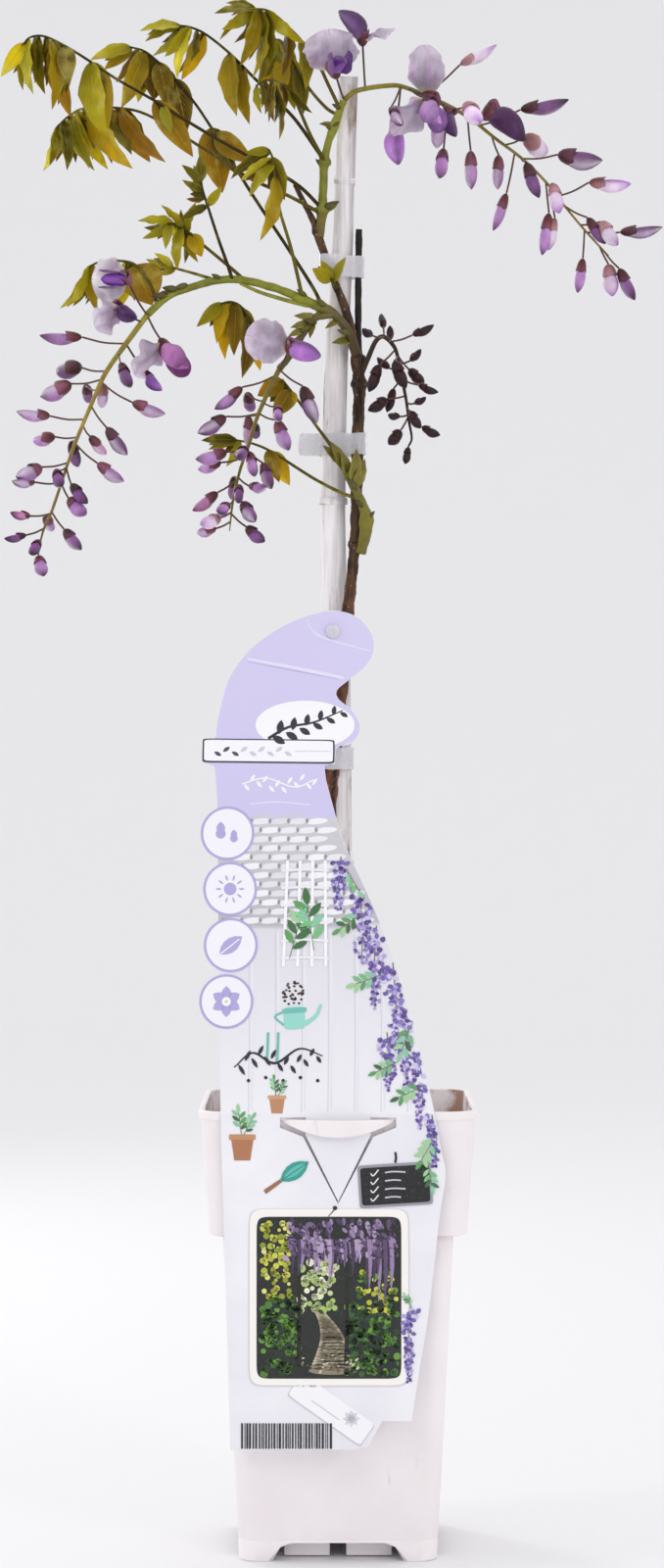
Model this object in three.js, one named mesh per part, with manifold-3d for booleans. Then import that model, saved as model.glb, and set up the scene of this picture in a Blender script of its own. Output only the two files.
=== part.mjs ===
// Climbing wisteria in a tall square nursery pot, with its whitened bamboo cane, clear ties and hang card.
// Millimetres, +Z up. While it is built the pot's axis is x = y = 0 and the front is towards -Y.
import * as THREE from "three";
import { mergeVertices } from "three/addons/utils/BufferGeometryUtils.js";
import Module from "manifold-3d";

const wasm = await Module();
wasm.setup();
const { Manifold } = wasm;

// ---------------------------------------------------------------- driving dimensions
const GAP = 0.3; // air left between pieces that touch
const POT = {
  height: 225,
  rimHalf: 68,
  collarHalf: 64,
  collarBottom: 163,
  bodyHalf: 57.5,
  baseHalf: 49.5,
  cornerRadius: 13,
  wall: 1.8,
  lipHeight: 4,
  lipOut: 1,
  floorBottom: 10,
  floorTop: 12.5,
  footThick: 3,
  notchHalf: 29,
};
const RIB = { near: 4, far: 27, inset: 13, halfThick: 1.2, bottom: 0.8 };
const DRAIN = { radius: 4, at: 18, sides: 8 };
const STRAP = { halfWidth: 27, drop: 8.5, endDrop: 1.5, bow: 8, thick: 1.6, top: 221.5 };
const SOIL = { top: 204, relief: 2.2, mound: 3, moundRadius: 30, cells: 7, holeGap: 0.4 };
const CARD = { thick: 0.8, halfSpan: 80, slotNear: 16, slotFar: 28.5, kerf: 0.7, tipZ: 180 };
const PIN = { x: -2.5, z: 463, shaft: 1, head: 3.6, headThick: 1.6, endY: -4.8 };
const BADGE_RADIUS = 13.5;
const TIE = { height: 11, thick: 0.6, air: 0.65, roundSides: 14 };
const BLADE = { thick: 0.8, neckHalf: 0.35 };
const ROOT_GAP = 0.4; // air left round a grown root in what carries it
const LEAF_RIB = { footRadius: 1, endRadius: 0.8, sides: 3 };
const LEAFLET = { broad: 0.36, mostTwist: 1.2, leastReach: 0.12, mostReach: 0.38, fold: 0.1, bulge: 0.05 };
const SCALE = { broad: 0.3, fold: 0.3, bulge: 0.05 };
const BUD = { sides: 4, stalkRadius: 0.5, deep: 1.1, sag: 0.06 };
// Shares of an open flower's size, and how far its banner usually leans forwards.
const FLOWER = {
  usualNod: 0.25,
  calyxRadius: 0.13,
  calyxEnd: 0.24,
  banner: { long: 0.92, fold: 0.16, bulge: -0.06 },
  wing: { long: 0.75, broad: 0.36, fold: 0.3, droop: 0.25, spread: 0.28 },
};

const UP = new THREE.Vector3(0, 0, 1);
const DOWN = new THREE.Vector3(0, 0, -1);
const DEPTH = new THREE.Vector3(0, 1, 0);
// The plant is laid out as an eye in front of it sees it: x and z of a point are where the line from the
// eye to it meets the plane y = 0, and y is its true depth.
const EYE = { distance: 1800, x: -3, z: 386 };

// ---------------------------------------------------------------- materials
const finish = (color, roughness) =>
  new THREE.MeshStandardMaterial({ color, roughness, metalness: 0 });
const MATERIALS = {
  pot: finish(0xeee8e2, 0.5),
  soil: finish(0x3b2a1f, 0.95),
  cane: finish(0xe9e4e6, 0.6),
  wood: finish(0x6a4630, 0.75),
  shoot: finish(0x7d8a35, 0.6),
  leaf: finish(0x7d7422, 0.45),
  bloom: finish(0x8c6ba8, 0.55),
  darkBloom: finish(0x4f3445, 0.6),
  card: finish(0xe7e3f2, 0.4),
  tie: finish(0xd9d5d8, 0.3),
  pin: finish(0xf2f0f2, 0.3),
};

// ---------------------------------------------------------------- small helpers
const vec = (p) => new THREE.Vector3(p[0], p[1], p[2]);
const flat = (p) => new THREE.Vector2(p[0], p[1]);
const mix = (a, b, t) => a + (b - a) * t;
const unit = (v) => v.clone().normalize();

// A step from a point by lengths along directions: step(p, a, 2, b, 3) is p + 2a + 3b.
function step(point, ...moves) {
  const made = point.clone();
  for (let i = 0; i < moves.length; i += 2) made.addScaledVector(moves[i], moves[i + 1]);
  return made;
}

// The same number from 0 to 1 every time for the same n.
function draw(n) {
  const v = Math.sin(n * 12.9898 + 78.233) * 43758.5453;
  return v - Math.floor(v);
}

function solidOf(geometry) {
  const plain = geometry.clone();
  plain.deleteAttribute("normal");
  plain.deleteAttribute("uv");
  const merged = mergeVertices(plain, 1e-4);
  const made = new Manifold(
    new wasm.Mesh({
      numProp: 3,
      vertProperties: new Float32Array(merged.attributes.position.array),
      triVerts: new Uint32Array(merged.index.array),
    }),
  );
  if (made.volume() < 0) throw new Error("a solid is inside out");
  return made;
}

function meshOf(name, solid, material) {
  const m = solid.getMesh();
  const corners = new Float32Array(m.numVert * 3);
  for (let i = 0; i < m.numVert; i++)
    corners.set(m.vertProperties.subarray(i * m.numProp, i * m.numProp + 3), i * 3);
  const geometry = new THREE.BufferGeometry();
  geometry.setAttribute("position", new THREE.BufferAttribute(corners, 3));
  geometry.setIndex(new THREE.BufferAttribute(new Uint32Array(m.triVerts), 1));
  geometry.computeVertexNormals();
  const mesh = new THREE.Mesh(geometry, material);
  mesh.name = name;
  return mesh;
}

const fuse = (solids) => solids.reduce((whole, piece) => whole.add(piece));

// A cut can leave scraps behind. Only the largest body is the piece.
function withoutScraps(solid) {
  return solid.decompose().reduce((best, body) => (body.volume() > best.volume() ? body : best));
}

function shapeOf(points) {
  const shape = new THREE.Shape();
  shape.setFromPoints(points.map(flat));
  return shape;
}

const plate = (shape, depth, curveSegments = 2) =>
  new THREE.ExtrudeGeometry(shape, { depth, bevelEnabled: false, curveSegments });

// Rings of corners, counter-clockwise about the way they go, joined into one closed surface.
// The far end is a point where a tip is given, and both ends are flat caps otherwise.
function loft(rings, tip = null) {
  const sides = rings[0].length;
  const corners = rings.flat();
  const faces = [];
  for (let k = 0; k + 1 < rings.length; k++)
    for (let j = 0; j < sides; j++) {
      const a = k * sides + j;
      const b = k * sides + ((j + 1) % sides);
      faces.push(a, b, b + sides, a, b + sides, a + sides);
    }
  const last = (rings.length - 1) * sides;
  for (let j = 1; j + 1 < sides; j++) {
    faces.push(0, j + 1, j);
    if (!tip) faces.push(last, last + j, last + j + 1);
  }
  if (tip) {
    corners.push(tip);
    for (let j = 0; j < sides; j++) faces.push(last + j, last + ((j + 1) % sides), corners.length - 1);
  }
  const geometry = new THREE.BufferGeometry();
  const numbers = corners.flatMap((c) => [c.x, c.y, c.z]);
  geometry.setAttribute("position", new THREE.Float32BufferAttribute(numbers, 3));
  geometry.setIndex(faces);
  return geometry;
}

// ---------------------------------------------------------------- stems
// A laid-out point brought to where it truly is.
function inPlace({ x, y, z }) {
  const share = 1 + y / EYE.distance;
  return new THREE.Vector3(mix(EYE.x, x, share), y, mix(EYE.z, z, share));
}

// A closed piece of the plant from laid-out rings.
function grow(rings, tip = null) {
  return solidOf(loft(rings.map((ring) => ring.map(inPlace)), tip && inPlace(tip)));
}

const lineThrough = (points) => new THREE.CatmullRomCurve3(points.map(vec), false, "catmullrom", 0.5);

// side lies in the front view and face points to the front or back of the plant.
function frameFrom(point, tangent) {
  const side = new THREE.Vector3().crossVectors(tangent, DEPTH).normalize();
  const face = new THREE.Vector3().crossVectors(tangent, side).normalize();
  return { point, tangent, side, face };
}

const frameAt = (line, share) => frameFrom(line.getPointAt(share), line.getTangentAt(share));

function roundRing({ point, side, face }, radius, sides) {
  return Array.from({ length: sides }, (_, j) => {
    const a = (2 * Math.PI * j) / sides;
    return step(point, side, radius * Math.cos(a), face, radius * Math.sin(a));
  });
}

// A round stem through stations of x, y, z and radius, with a ring at each and split - 1 rings between.
function stem({ stations, sides, split }, extra = 0) {
  const line = lineThrough(stations);
  const spans = stations.length - 1;
  const rings = [];
  for (let k = 0; k <= spans * split; k++) {
    const t = k / (spans * split);
    const low = Math.min(Math.floor(t * spans), spans - 1);
    const radius = mix(stations[low][3], stations[low + 1][3], t * spans - low) + extra;
    rings.push(roundRing(frameFrom(line.getPoint(t), line.getTangent(t)), radius, sides));
  }
  return grow(rings);
}

const STEMS = {
  bamboo_cane: {
    sides: 8,
    split: 1,
    stations: [
      [1, 2, 45, 7], [1, 2, 200, 7], [0.5, 2, 341, 6.6], [0.5, 2, 344, 7.8], [0.5, 2, 347, 7.6],
      [0.4, 2, 350, 6.8], [-0.5, 2, 436, 7], [-2, 2, 486, 6.7], [-2.5, 2, 526, 6.3], [-2.5, 2, 529, 7.5],
      [-2.5, 2, 532, 7.3], [-2.4, 2, 535, 6.4], [-1.5, 2, 586, 6.2], [2, 2, 656, 5.5], [3.4, 2, 692, 5],
      [3.5, 2, 694, 5.7], [3.7, 2, 697, 5.1], [5.5, 2, 747, 4.8],
    ],
  },
  trunk: {
    sides: 6,
    split: 2,
    stations: [
      [-15, -5, 120, 5.4], [-14, -6, 215, 5.2], [-9, -9, 300, 4.6], [-4.5, -12, 380, 4.3], [1, -13, 436, 4.1],
      [6, -10, 481, 3], [8.3, -6.5, 503, 2.9], [9, -6, 508, 4], [9.2, -6, 514, 3.1], [10, -5, 560, 3.1],
      [10.8, -4.6, 585, 3.1], [10.9, -4.6, 589.5, 4.3], [10.4, -4.4, 595, 3.2], [10.2, -4.4, 604, 3.8],
      [10.3, -4, 609, 1.9], [10.4, -2, 640, 1.7], [10.8, 0, 669, 1.7],
    ],
  },
  side_stem: {
    sides: 6,
    split: 2,
    stations: [
      [10.3, -4, 601, 2.6], [6.5, -6.5, 619, 2.3], [2.5, -8, 632, 2.2], [-2, -8.5, 643, 2],
      [-7, -8.5, 657, 2], [-9.8, -8.5, 665, 2.2], [-10.6, -8.4, 668, 2.8], [-12, -8.3, 672, 1.8],
      [-16.5, -8, 681, 1.5], [-22, -7.5, 692, 1.2],
    ],
  },
  shoot_upper: {
    sides: 6,
    split: 1,
    stations: [
      [-9.5, -8.6, 665, 2.4], [-8.4, -8.6, 675, 2.4], [-8, -8.7, 679, 3.3], [-7.8, -8.7, 683, 2.4],
      [-7.2, -8.8, 699, 2.3], [-6.9, -8.8, 703, 3.2], [-6.4, -8.8, 707, 2.2], [-4.5, -8.8, 714.5, 2],
      [-2, -8.8, 721, 2.5], [0.5, -8.7, 728.5, 1.9], [2.9, -8.6, 734.6, 1.9],
    ],
  },
  shoot_left: {
    sides: 6,
    split: 1,
    stations: [
      [9.5, -7, 605, 2.6], [4.5, -12.5, 618, 2.5], [-2.5, -14.5, 626, 2.4], [-8, -15, 628.8, 3.2],
      [-12, -15.2, 630.6, 2.5], [-18.5, -15.6, 633.2, 2.9], [-23, -15.7, 635.5, 2.2], [-32, -16, 639, 2.1],
      [-48, -17, 643, 2], [-61.5, -18.5, 643, 2], [-76, -20, 639, 1.9], [-87, -22.5, 634.5, 1.9],
      [-97.1, -24.9, 625.6, 1.9],
    ],
  },
  spur_middle: {
    sides: 6,
    split: 1,
    stations: [
      [-2.5, -15, 625.5, 1.8], [-11.5, -18.5, 623.5, 1.7], [-17.3, -22, 616, 1.6], [-23, -27.5, 606, 1.6],
      [-29.8, -32.8, 597.9, 1.7],
    ],
  },
  shoot_lower: {
    sides: 6,
    split: 1,
    stations: [
      [11.5, -7, 504, 3], [13.5, -9, 512, 3.1], [14.6, -10.6, 520.5, 3.8], [13.5, -11.2, 526, 2.7],
      [11.5, -12, 531, 2.4], [7.5, -13, 539, 2.2], [3.5, -14, 546.5, 1.9], [0.5, -15, 553, 1.3],
    ],
  },
};

// ---------------------------------------------------------------- blades
// Half-width along a blade as a share of its widest: a drawn-out leaflet, a rounded banner and a wing.
const LEAFLET_OUTLINE = [[0.34, 1], [0.72, 0.62]];
const BANNER_OUTLINE = [[0.16, 0.5], [0.5, 1], [0.86, 0.8]];
const WING_OUTLINE = [[0.4, 1], [0.85, 0.7]];

// A thin blade, flat above and keeled below, with raised edges and a middle that bulges upwards.
function blade(foot, { along, across, up }, length, width, outline, fold, bulge) {
  const ring = (share, half) => {
    const middle = step(foot, along, length * share, up, 4 * bulge * length * share * (1 - share));
    const lift = BLADE.thick / 2 + fold * half;
    return [
      step(middle, across, half, up, lift),
      step(middle, up, -BLADE.thick / 2),
      step(middle, across, -half, up, lift),
    ];
  };
  const rings = [ring(0, BLADE.neckHalf)];
  for (const [share, half] of outline) rings.push(ring(share, (half * width) / 2));
  return grow(rings, step(foot, along, length));
}

// Three directions at right angles: along the blade, across it and out of its upper face.
function bladeFrame(along, acrossHint, outward, twist = 0) {
  const across = step(acrossHint, along, -acrossHint.dot(along)).normalize().applyAxisAngle(along, twist);
  const up = new THREE.Vector3().crossVectors(across, along);
  return up.dot(outward) < 0 ? { along, across: across.negate(), up: up.negate() } : { along, across, up };
}

// ---------------------------------------------------------------- leaves
// Each leaf: its rib, and for each leaflet where it leaves the rib, its tip and the width that shows,
// as x, z, x, z and width. Leaflets point forwards and backwards in turn.
const LEAVES = {
  leaf_long_left: {
    rib: [
      [-8.5, -9.5, 680], [-21, -12, 692], [-41.5, -14, 704], [-58, -18, 713], [-75, -22, 723],
      [-92.5, -26, 734], [-113.5, -30, 746], [-127, -32, 755], [-140, -33, 763], [-150, -33, 767.5],
      [-157, -33, 767], [-161, -33, 763],
    ],
    leaflets: [
      [-160, 764, -172, 747, 8], [-157.7, 765, -161.8, 740, 5], [-156.7, 765, -156.7, 738, 6],
      [-152.7, 766, -150.6, 738, 7.5], [-146.6, 764, -144.6, 730, 8], [-145.6, 762, -137.5, 726, 11],
      [-138.5, 762, -137.5, 743, 10], [-125.4, 754, -117.3, 720.7, 15], [-127.4, 752, -119, 715.7, 13],
      [-93, 734.5, -74, 706, 13], [-89, 732, -85, 718, 6],
    ],
  },
  leaf_high_left: {
    rib: [
      [-8, -15, 629], [-12, -12, 638], [-24, -6, 657], [-44.5, 2, 688], [-58.5, 10, 711], [-66, 14, 723],
      [-73.5, 18, 734], [-83.5, 24, 746], [-92.5, 27, 755], [-99, 28, 760], [-106, 28, 762],
    ],
    leaflets: [
      [-105, 762, -126.4, 756, 7], [-105, 762, -119.3, 750.5, 7], [-99, 760, -110, 731, 11],
      [-93, 755, -94, 735, 13.5], [-84, 745, -77, 719, 13], [-66, 720.5, -59, 688, 17],
      [-63, 718, -43, 703, 12], [-61, 715, -48, 705, 7],
    ],
  },
  leaf_upper_arch: {
    rib: [
      [-7, -9, 704], [-21, 0, 724], [-31.5, 5, 735], [-42.5, 9, 746], [-55.5, 12, 759],
      [-67.5, 13, 768.5], [-75, 13, 772], [-81, 13, 773],
    ],
    leaflets: [
      [-80.5, 773.5, -101, 771, 5], [-80.5, 773, -98.5, 765.5, 5], [-75, 772, -88, 757, 7],
      [-80, 772, -94, 757, 5], [-76, 771.5, -83, 746.5, 6], [-68.5, 768.5, -79.5, 745, 9],
      [-55.5, 758, -52.5, 727, 10], [-54, 757, -50, 734, 6], [-48.5, 751, -46, 722.5, 8],
    ],
  },
  leaf_crown: {
    rib: [
      [1, -9, 730.5], [-5, -8, 743], [-10, -8, 753.5], [-17, -9, 763], [-21, -10, 768],
      [-31.5, -13, 778], [-37, -14, 781], [-42, -14, 781.5],
    ],
    leaflets: [
      [-42, 782, -63, 780, 5], [-42, 782, -57, 785, 4], [-41, 781, -59, 770.5, 7],
      [-40, 781, -61, 766.5, 5], [-41, 781, -49, 752, 8], [-39, 781, -42, 746, 5],
      [-36, 780, -17, 763, 6], [-37, 780, -39.5, 742, 8], [-19, 766, -15.5, 740, 7],
    ],
  },
  leaf_crown_back: {
    rib: [[0, -8.7, 727.2], [-6, -2, 731], [-14, 5, 740], [-20.5, 10, 750], [-28, 15, 764], [-32, 16, 766]],
    leaflets: [[-31, 765, -38.5, 742, 12], [-28, 763, -25, 741, 11], [-24, 757, -20, 737, 8]],
  },
  leaf_crown_low: {
    rib: [
      [-7, -11, 704], [-14, -17, 717], [-20, -24, 731], [-24, -29, 739.5], [-30, -33, 744.5],
      [-37, -34, 745], [-42, -34, 742],
    ],
    leaflets: [
      [-33, 744, -33.5, 724, 5], [-34, 744, -28.5, 715, 4], [-41, 742, -39.5, 728, 4],
      [-37, 744, -36.5, 727.5, 4], [-24, 740, -13.5, 728, 4],
    ],
  },
  leaf_low_left: {
    rib: [
      [-8.5, -10, 677], [-25, -17, 686], [-45, -22, 695], [-62, -20, 706], [-78, -9, 716],
      [-97, -2, 727.3], [-111, 1, 730.8], [-129, 2, 730.8], [-137, 2, 727], [-143, 2, 721.7],
    ],
    leaflets: [
      [-143, 722, -146.6, 701.5, 6], [-143, 722, -149.6, 698.5, 6], [-140.5, 723.5, -137.5, 699.5, 7],
      [-139, 724, -126.4, 700.5, 8], [-135.5, 727, -125.4, 698.5, 7], [-132, 728.5, -118.3, 699, 9],
      [-128, 730, -106, 699.5, 11], [-113, 730, -96, 703.5, 13], [-111, 730, -89, 702.5, 9],
    ],
  },
  leaf_inner: {
    rib: [
      [-18, -16.5, 634], [-24, -21, 659.5], [-30, -26, 680], [-32, -29, 695.5], [-33.3, -30, 705],
      [-35, -31, 709.5],
    ],
    leaflets: [
      [-35, 709.5, -47.5, 708, 5], [-35, 708, -55, 695.5, 6], [-34, 702, -45.5, 686, 6],
      [-33.5, 706, -27, 684, 8], [-32, 696, -38.5, 663, 8], [-34, 705, -50, 694, 5],
    ],
  },
  leaf_spray_tall: {
    rib: [
      [-54, -18.5, 643.5], [-56, -21, 650], [-61, -26, 664], [-66.5, -30, 681], [-69, -31, 689],
      [-70, -31, 695],
    ],
    leaflets: [
      [-66.5, 681, -59, 691, 5], [-66.5, 681, -80.5, 674, 5], [-69, 689, -79.5, 694, 4],
      [-68.5, 686.5, -75.5, 687, 4], [-69, 692, -79.5, 702, 5], [-69.5, 694, -70.5, 707, 6],
    ],
  },
  leaf_spray_mid: {
    rib: [
      [-47.5, -17, 643], [-55.5, -14, 650], [-70, -9, 662], [-77, -8, 668], [-83, -8, 671.5], [-87, -8, 672],
    ],
    leaflets: [
      [-75, 667, -69.5, 655, 9], [-79, 669, -72, 652, 5], [-80, 669, -82.5, 648, 6],
      [-84, 671, -80, 660, 4], [-84, 671, -102.5, 674, 5], [-86, 671, -99.5, 664, 5],
      [-86, 671, -88, 659, 5], [-79, 670, -90, 682, 4], [-76, 668, -73, 683, 4],
    ],
  },
  leaf_spray_low: {
    rib: [[-62, -18.5, 643], [-67, -15, 644.5], [-73.5, -12, 646.5], [-82.5, -8, 649], [-87, -7, 650.5]],
    leaflets: [[-84, 649.5, -93.5, 657, 4], [-86, 650, -98, 653.5, 4], [-83, 649, -91, 645.5, 4]],
  },
  leaf_behind_raceme: {
    rib: [
      [-92, -23.4, 630.5], [-96, -16, 641], [-103, -9, 650.5], [-112, -3, 653], [-121, 2, 652.5],
      [-128, 4, 649.5],
    ],
    leaflets: [
      [-103, 651, -95, 630.4, 18], [-108, 652, -111.9, 627.3, 9], [-118, 652, -117.2, 624.8, 8],
      [-126.5, 650.5, -140.9, 628, 5], [-127, 650.5, -137.5, 629, 6], [-126.5, 650.5, -134.5, 629.5, 6],
      [-125, 651, -123.5, 627, 7],
    ],
  },
  leaf_centre: {
    rib: [
      [-17, -21.7, 616.8], [-24, -16, 611], [-32, -12, 610.5], [-41, -8, 617.5], [-45.5, -6, 624],
      [-50, -6, 630], [-55, -6, 632], [-60, -6, 631],
    ],
    leaflets: [
      [-59, 631, -71.9, 619.4, 7], [-58, 631, -65.3, 619.4, 6], [-57, 631, -62.2, 611, 7],
      [-54, 631, -58.5, 603, 8], [-52, 631, -53.5, 604.8, 9], [-48, 629, -43.5, 609, 9],
      [-46, 625, -48, 593.2, 9], [-43, 620, -40, 597, 8],
    ],
  },
  leaf_lower: {
    rib: [
      [11, -12, 531.5], [2, -11.5, 534.5], [-12.5, -12, 542], [-33, -13, 555], [-43, -14, 559.5],
      [-52, -15, 561.5],
    ],
    leaflets: [
      [-52, 561, -69.7, 561.6, 6], [-51, 561, -66, 557, 5], [-50, 560.5, -56.6, 547.9, 5],
      [-34, 555.5, -24.7, 538.5, 10], [-36, 556, -30, 540, 8],
    ],
  },
  leaf_young: {
    rib: [[-0.5, -8.6, 638.5], [-1.5, -12, 640.5], [-2.5, -16, 642.5], [-3.5, -18.5, 644]],
    leaflets: [[-3, 643, -13, 649, 8], [-3, 643, -8.5, 653, 6], [-2.5, 642, 4, 655, 5]],
  },
};
// This small leaf stands among the scales of the lower shoot and is one piece with it.
const LEAF_OVER_BLOOM = {
  rib: [[0.5, -15, 553], [-6, -17, 562], [-12.7, -19, 571], [-23.5, -21, 586], [-28.5, -21.5, 592.5]],
  leaflets: [[-24, 587, -33, 573, 10], [-28, 592, -41, 584, 10], [-24, 587, -26, 576, 9]],
};

// The point of a line that shows nearest to a place in the front view.
function nearest(line, x, z) {
  const away = (p) => Math.hypot(p.x - x, p.z - z);
  return line.getPoints(100).reduce((best, p) => (away(p) < away(best) ? p : best));
}

// A leaflet from its foot to its tip, turned about its length until its width shows as it should.
function leaflet(foot, tip, width, side, turn) {
  const chord = tip.clone().sub(foot);
  const length = chord.length();
  const along = unit(chord);
  const whole = Math.max(width, length * LEAFLET.broad);
  const twist = turn * Math.min(Math.acos(width / whole), LEAFLET.mostTwist);
  const inView = new THREE.Vector3().crossVectors(along, DEPTH);
  const directions = bladeFrame(along, inView, step(UP, DEPTH, side), twist);
  return blade(foot, directions, length, whole, LEAFLET_OUTLINE, LEAFLET.fold, LEAFLET.bulge);
}

// A pinnate leaf: its rib and the leaflets rooted at the middle of it.
function pinnateLeaf({ rib, leaflets }, seed) {
  const line = lineThrough(rib);
  const { footRadius, endRadius, sides } = LEAF_RIB;
  const rings = rib.map((_, k) => {
    const share = k / (rib.length - 1);
    return roundRing(frameAt(line, share), mix(footRadius, endRadius, share), sides);
  });
  const pieces = [grow(rings)];
  leaflets.forEach(([footX, footZ, tipX, tipZ, width], k) => {
    const foot = nearest(line, footX, footZ);
    const side = k % 2 ? 1 : -1;
    const reach = mix(LEAFLET.leastReach, LEAFLET.mostReach, draw(seed + k));
    const depth = foot.y + side * reach * Math.hypot(tipX - foot.x, tipZ - foot.z);
    const turn = draw(seed + 50 + k) < 0.5 ? -1 : 1;
    pieces.push(leaflet(foot, vec([tipX, depth, tipZ]), width, side, turn));
  });
  return fuse(pieces);
}

// Scales and unfolding leaves on the shoots: foot, way and length.
const SCALES = {
  shoot_lower: [
    [[3.5, -14, 546], [-0.5, -0.2, 1], 17],
    [[5, -13.5, 543], [-0.25, -0.5, 1], 15],
    [[2, -14.5, 549], [-0.9, -0.2, 0.9], 14],
    [[7.5, -13, 539], [0.1, -0.25, 1], 19],
    [[8.5, -12.6, 537], [0.35, -0.1, 1], 16],
    [[1.5, -14.6, 550], [-0.5, -0.8, 0.9], 11],
  ],
  shoot_left: [
    [[-4, -14.6, 627], [-0.6, -0.6, 0.8], 7],
    [[1, -14, 622.5], [-0.9, -0.3, -0.5], 9],
    [[7, -10, 612], [-1, -0.6, -0.1], 12],
    [[-84, -22, 636], [-0.9, -0.3, 0], 9],
    [[-66, -19, 642], [-0.9, -0.3, -0.35], 9],
  ],
  spur_middle: [
    [[-10, -18, 623], [-1, -0.2, 0.15], 13],
    [[-13, -19.5, 621], [-1, -0.3, -0.2], 12],
    [[-16, -21, 618], [-1, -0.4, -0.4], 11],
    [[-12, -19, 621], [-0.3, -0.5, -1], 9],
  ],
  shoot_upper: [
    [[-7.8, -8.8, 679], [1, -0.6, 0.3], 9],
    [[-2, -8.8, 722], [-1, -0.3, 0.1], 8],
    [[-7, -8.8, 703], [-0.6, -0.5, 1], 8],
  ],
};

function scale([foot, way, length]) {
  const directions = bladeFrame(unit(vec(way)), DEPTH, UP);
  const width = length * SCALE.broad;
  return blade(vec(foot), directions, length, width, LEAFLET_OUTLINE, SCALE.fold, SCALE.bulge);
}

// ---------------------------------------------------------------- buds and open flowers
function crossRing(centre, along, radius) {
  const side = new THREE.Vector3().crossVectors(along, Math.abs(along.y) > 0.97 ? UP : DEPTH).normalize();
  const top = new THREE.Vector3().crossVectors(side, along).normalize();
  return Array.from({ length: BUD.sides }, (_, j) => {
    const a = (-2 * Math.PI * j) / BUD.sides;
    return step(centre, side, radius * Math.cos(a), top, radius * BUD.deep * Math.sin(a));
  });
}

// A stalked bud as one closed skin: a thin stalk, then the calyx and the folded petals.
function stalkedBud(root, neck, tip, width) {
  const axis = unit(tip.clone().sub(neck));
  const length = tip.distanceTo(neck);
  const belly = (share, half) => {
    const sag = BUD.sag * length * Math.sin(Math.PI * share);
    return crossRing(step(neck, axis, length * share, DOWN, sag), axis, (half * width) / 2);
  };
  const rings = [
    crossRing(root, unit(neck.clone().sub(root)), BUD.stalkRadius),
    crossRing(neck, axis, BUD.stalkRadius),
    belly(0.24, 0.9),
    belly(0.66, 0.94),
  ];
  return grow(rings, tip);
}

// An open pea flower: stalk and calyx, a broad banner and two wings folded over the keel.
function openFlower(root, flower) {
  const base = vec(flower.at);
  const faces = unit(vec(flower.faces));
  const up = step(vec(flower.up), faces, -vec(flower.up).dot(faces)).normalize();
  const across = new THREE.Vector3().crossVectors(faces, up);
  const stalkWay = unit(base.clone().sub(root));
  const { size } = flower;
  const { banner, wing } = FLOWER;
  const calyx = [
    crossRing(root, stalkWay, BUD.stalkRadius),
    crossRing(root.clone().lerp(base, 0.85), stalkWay, BUD.stalkRadius),
    crossRing(base, stalkWay, size * FLOWER.calyxRadius),
  ];
  const bannerWay = step(up, faces, flower.nod ?? FLOWER.usualNod).normalize();
  const upright = bladeFrame(bannerWay, across, faces.clone().negate());
  const pieces = [
    grow(calyx, step(base, stalkWay, size * FLOWER.calyxEnd)),
    blade(base, upright, size * banner.long, size, BANNER_OUTLINE, banner.fold, banner.bulge),
  ];
  const keelWay = step(faces, up, -wing.droop).normalize();
  for (const s of [-1, 1]) {
    const inward = across.clone().multiplyScalar(-s);
    const folded = bladeFrame(step(keelWay, inward, -wing.spread).normalize(), up, inward);
    pieces.push(blade(base, folded, size * wing.long, size * wing.broad, WING_OUTLINE, wing.fold, 0));
  }
  return fuse(pieces);
}

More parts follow.
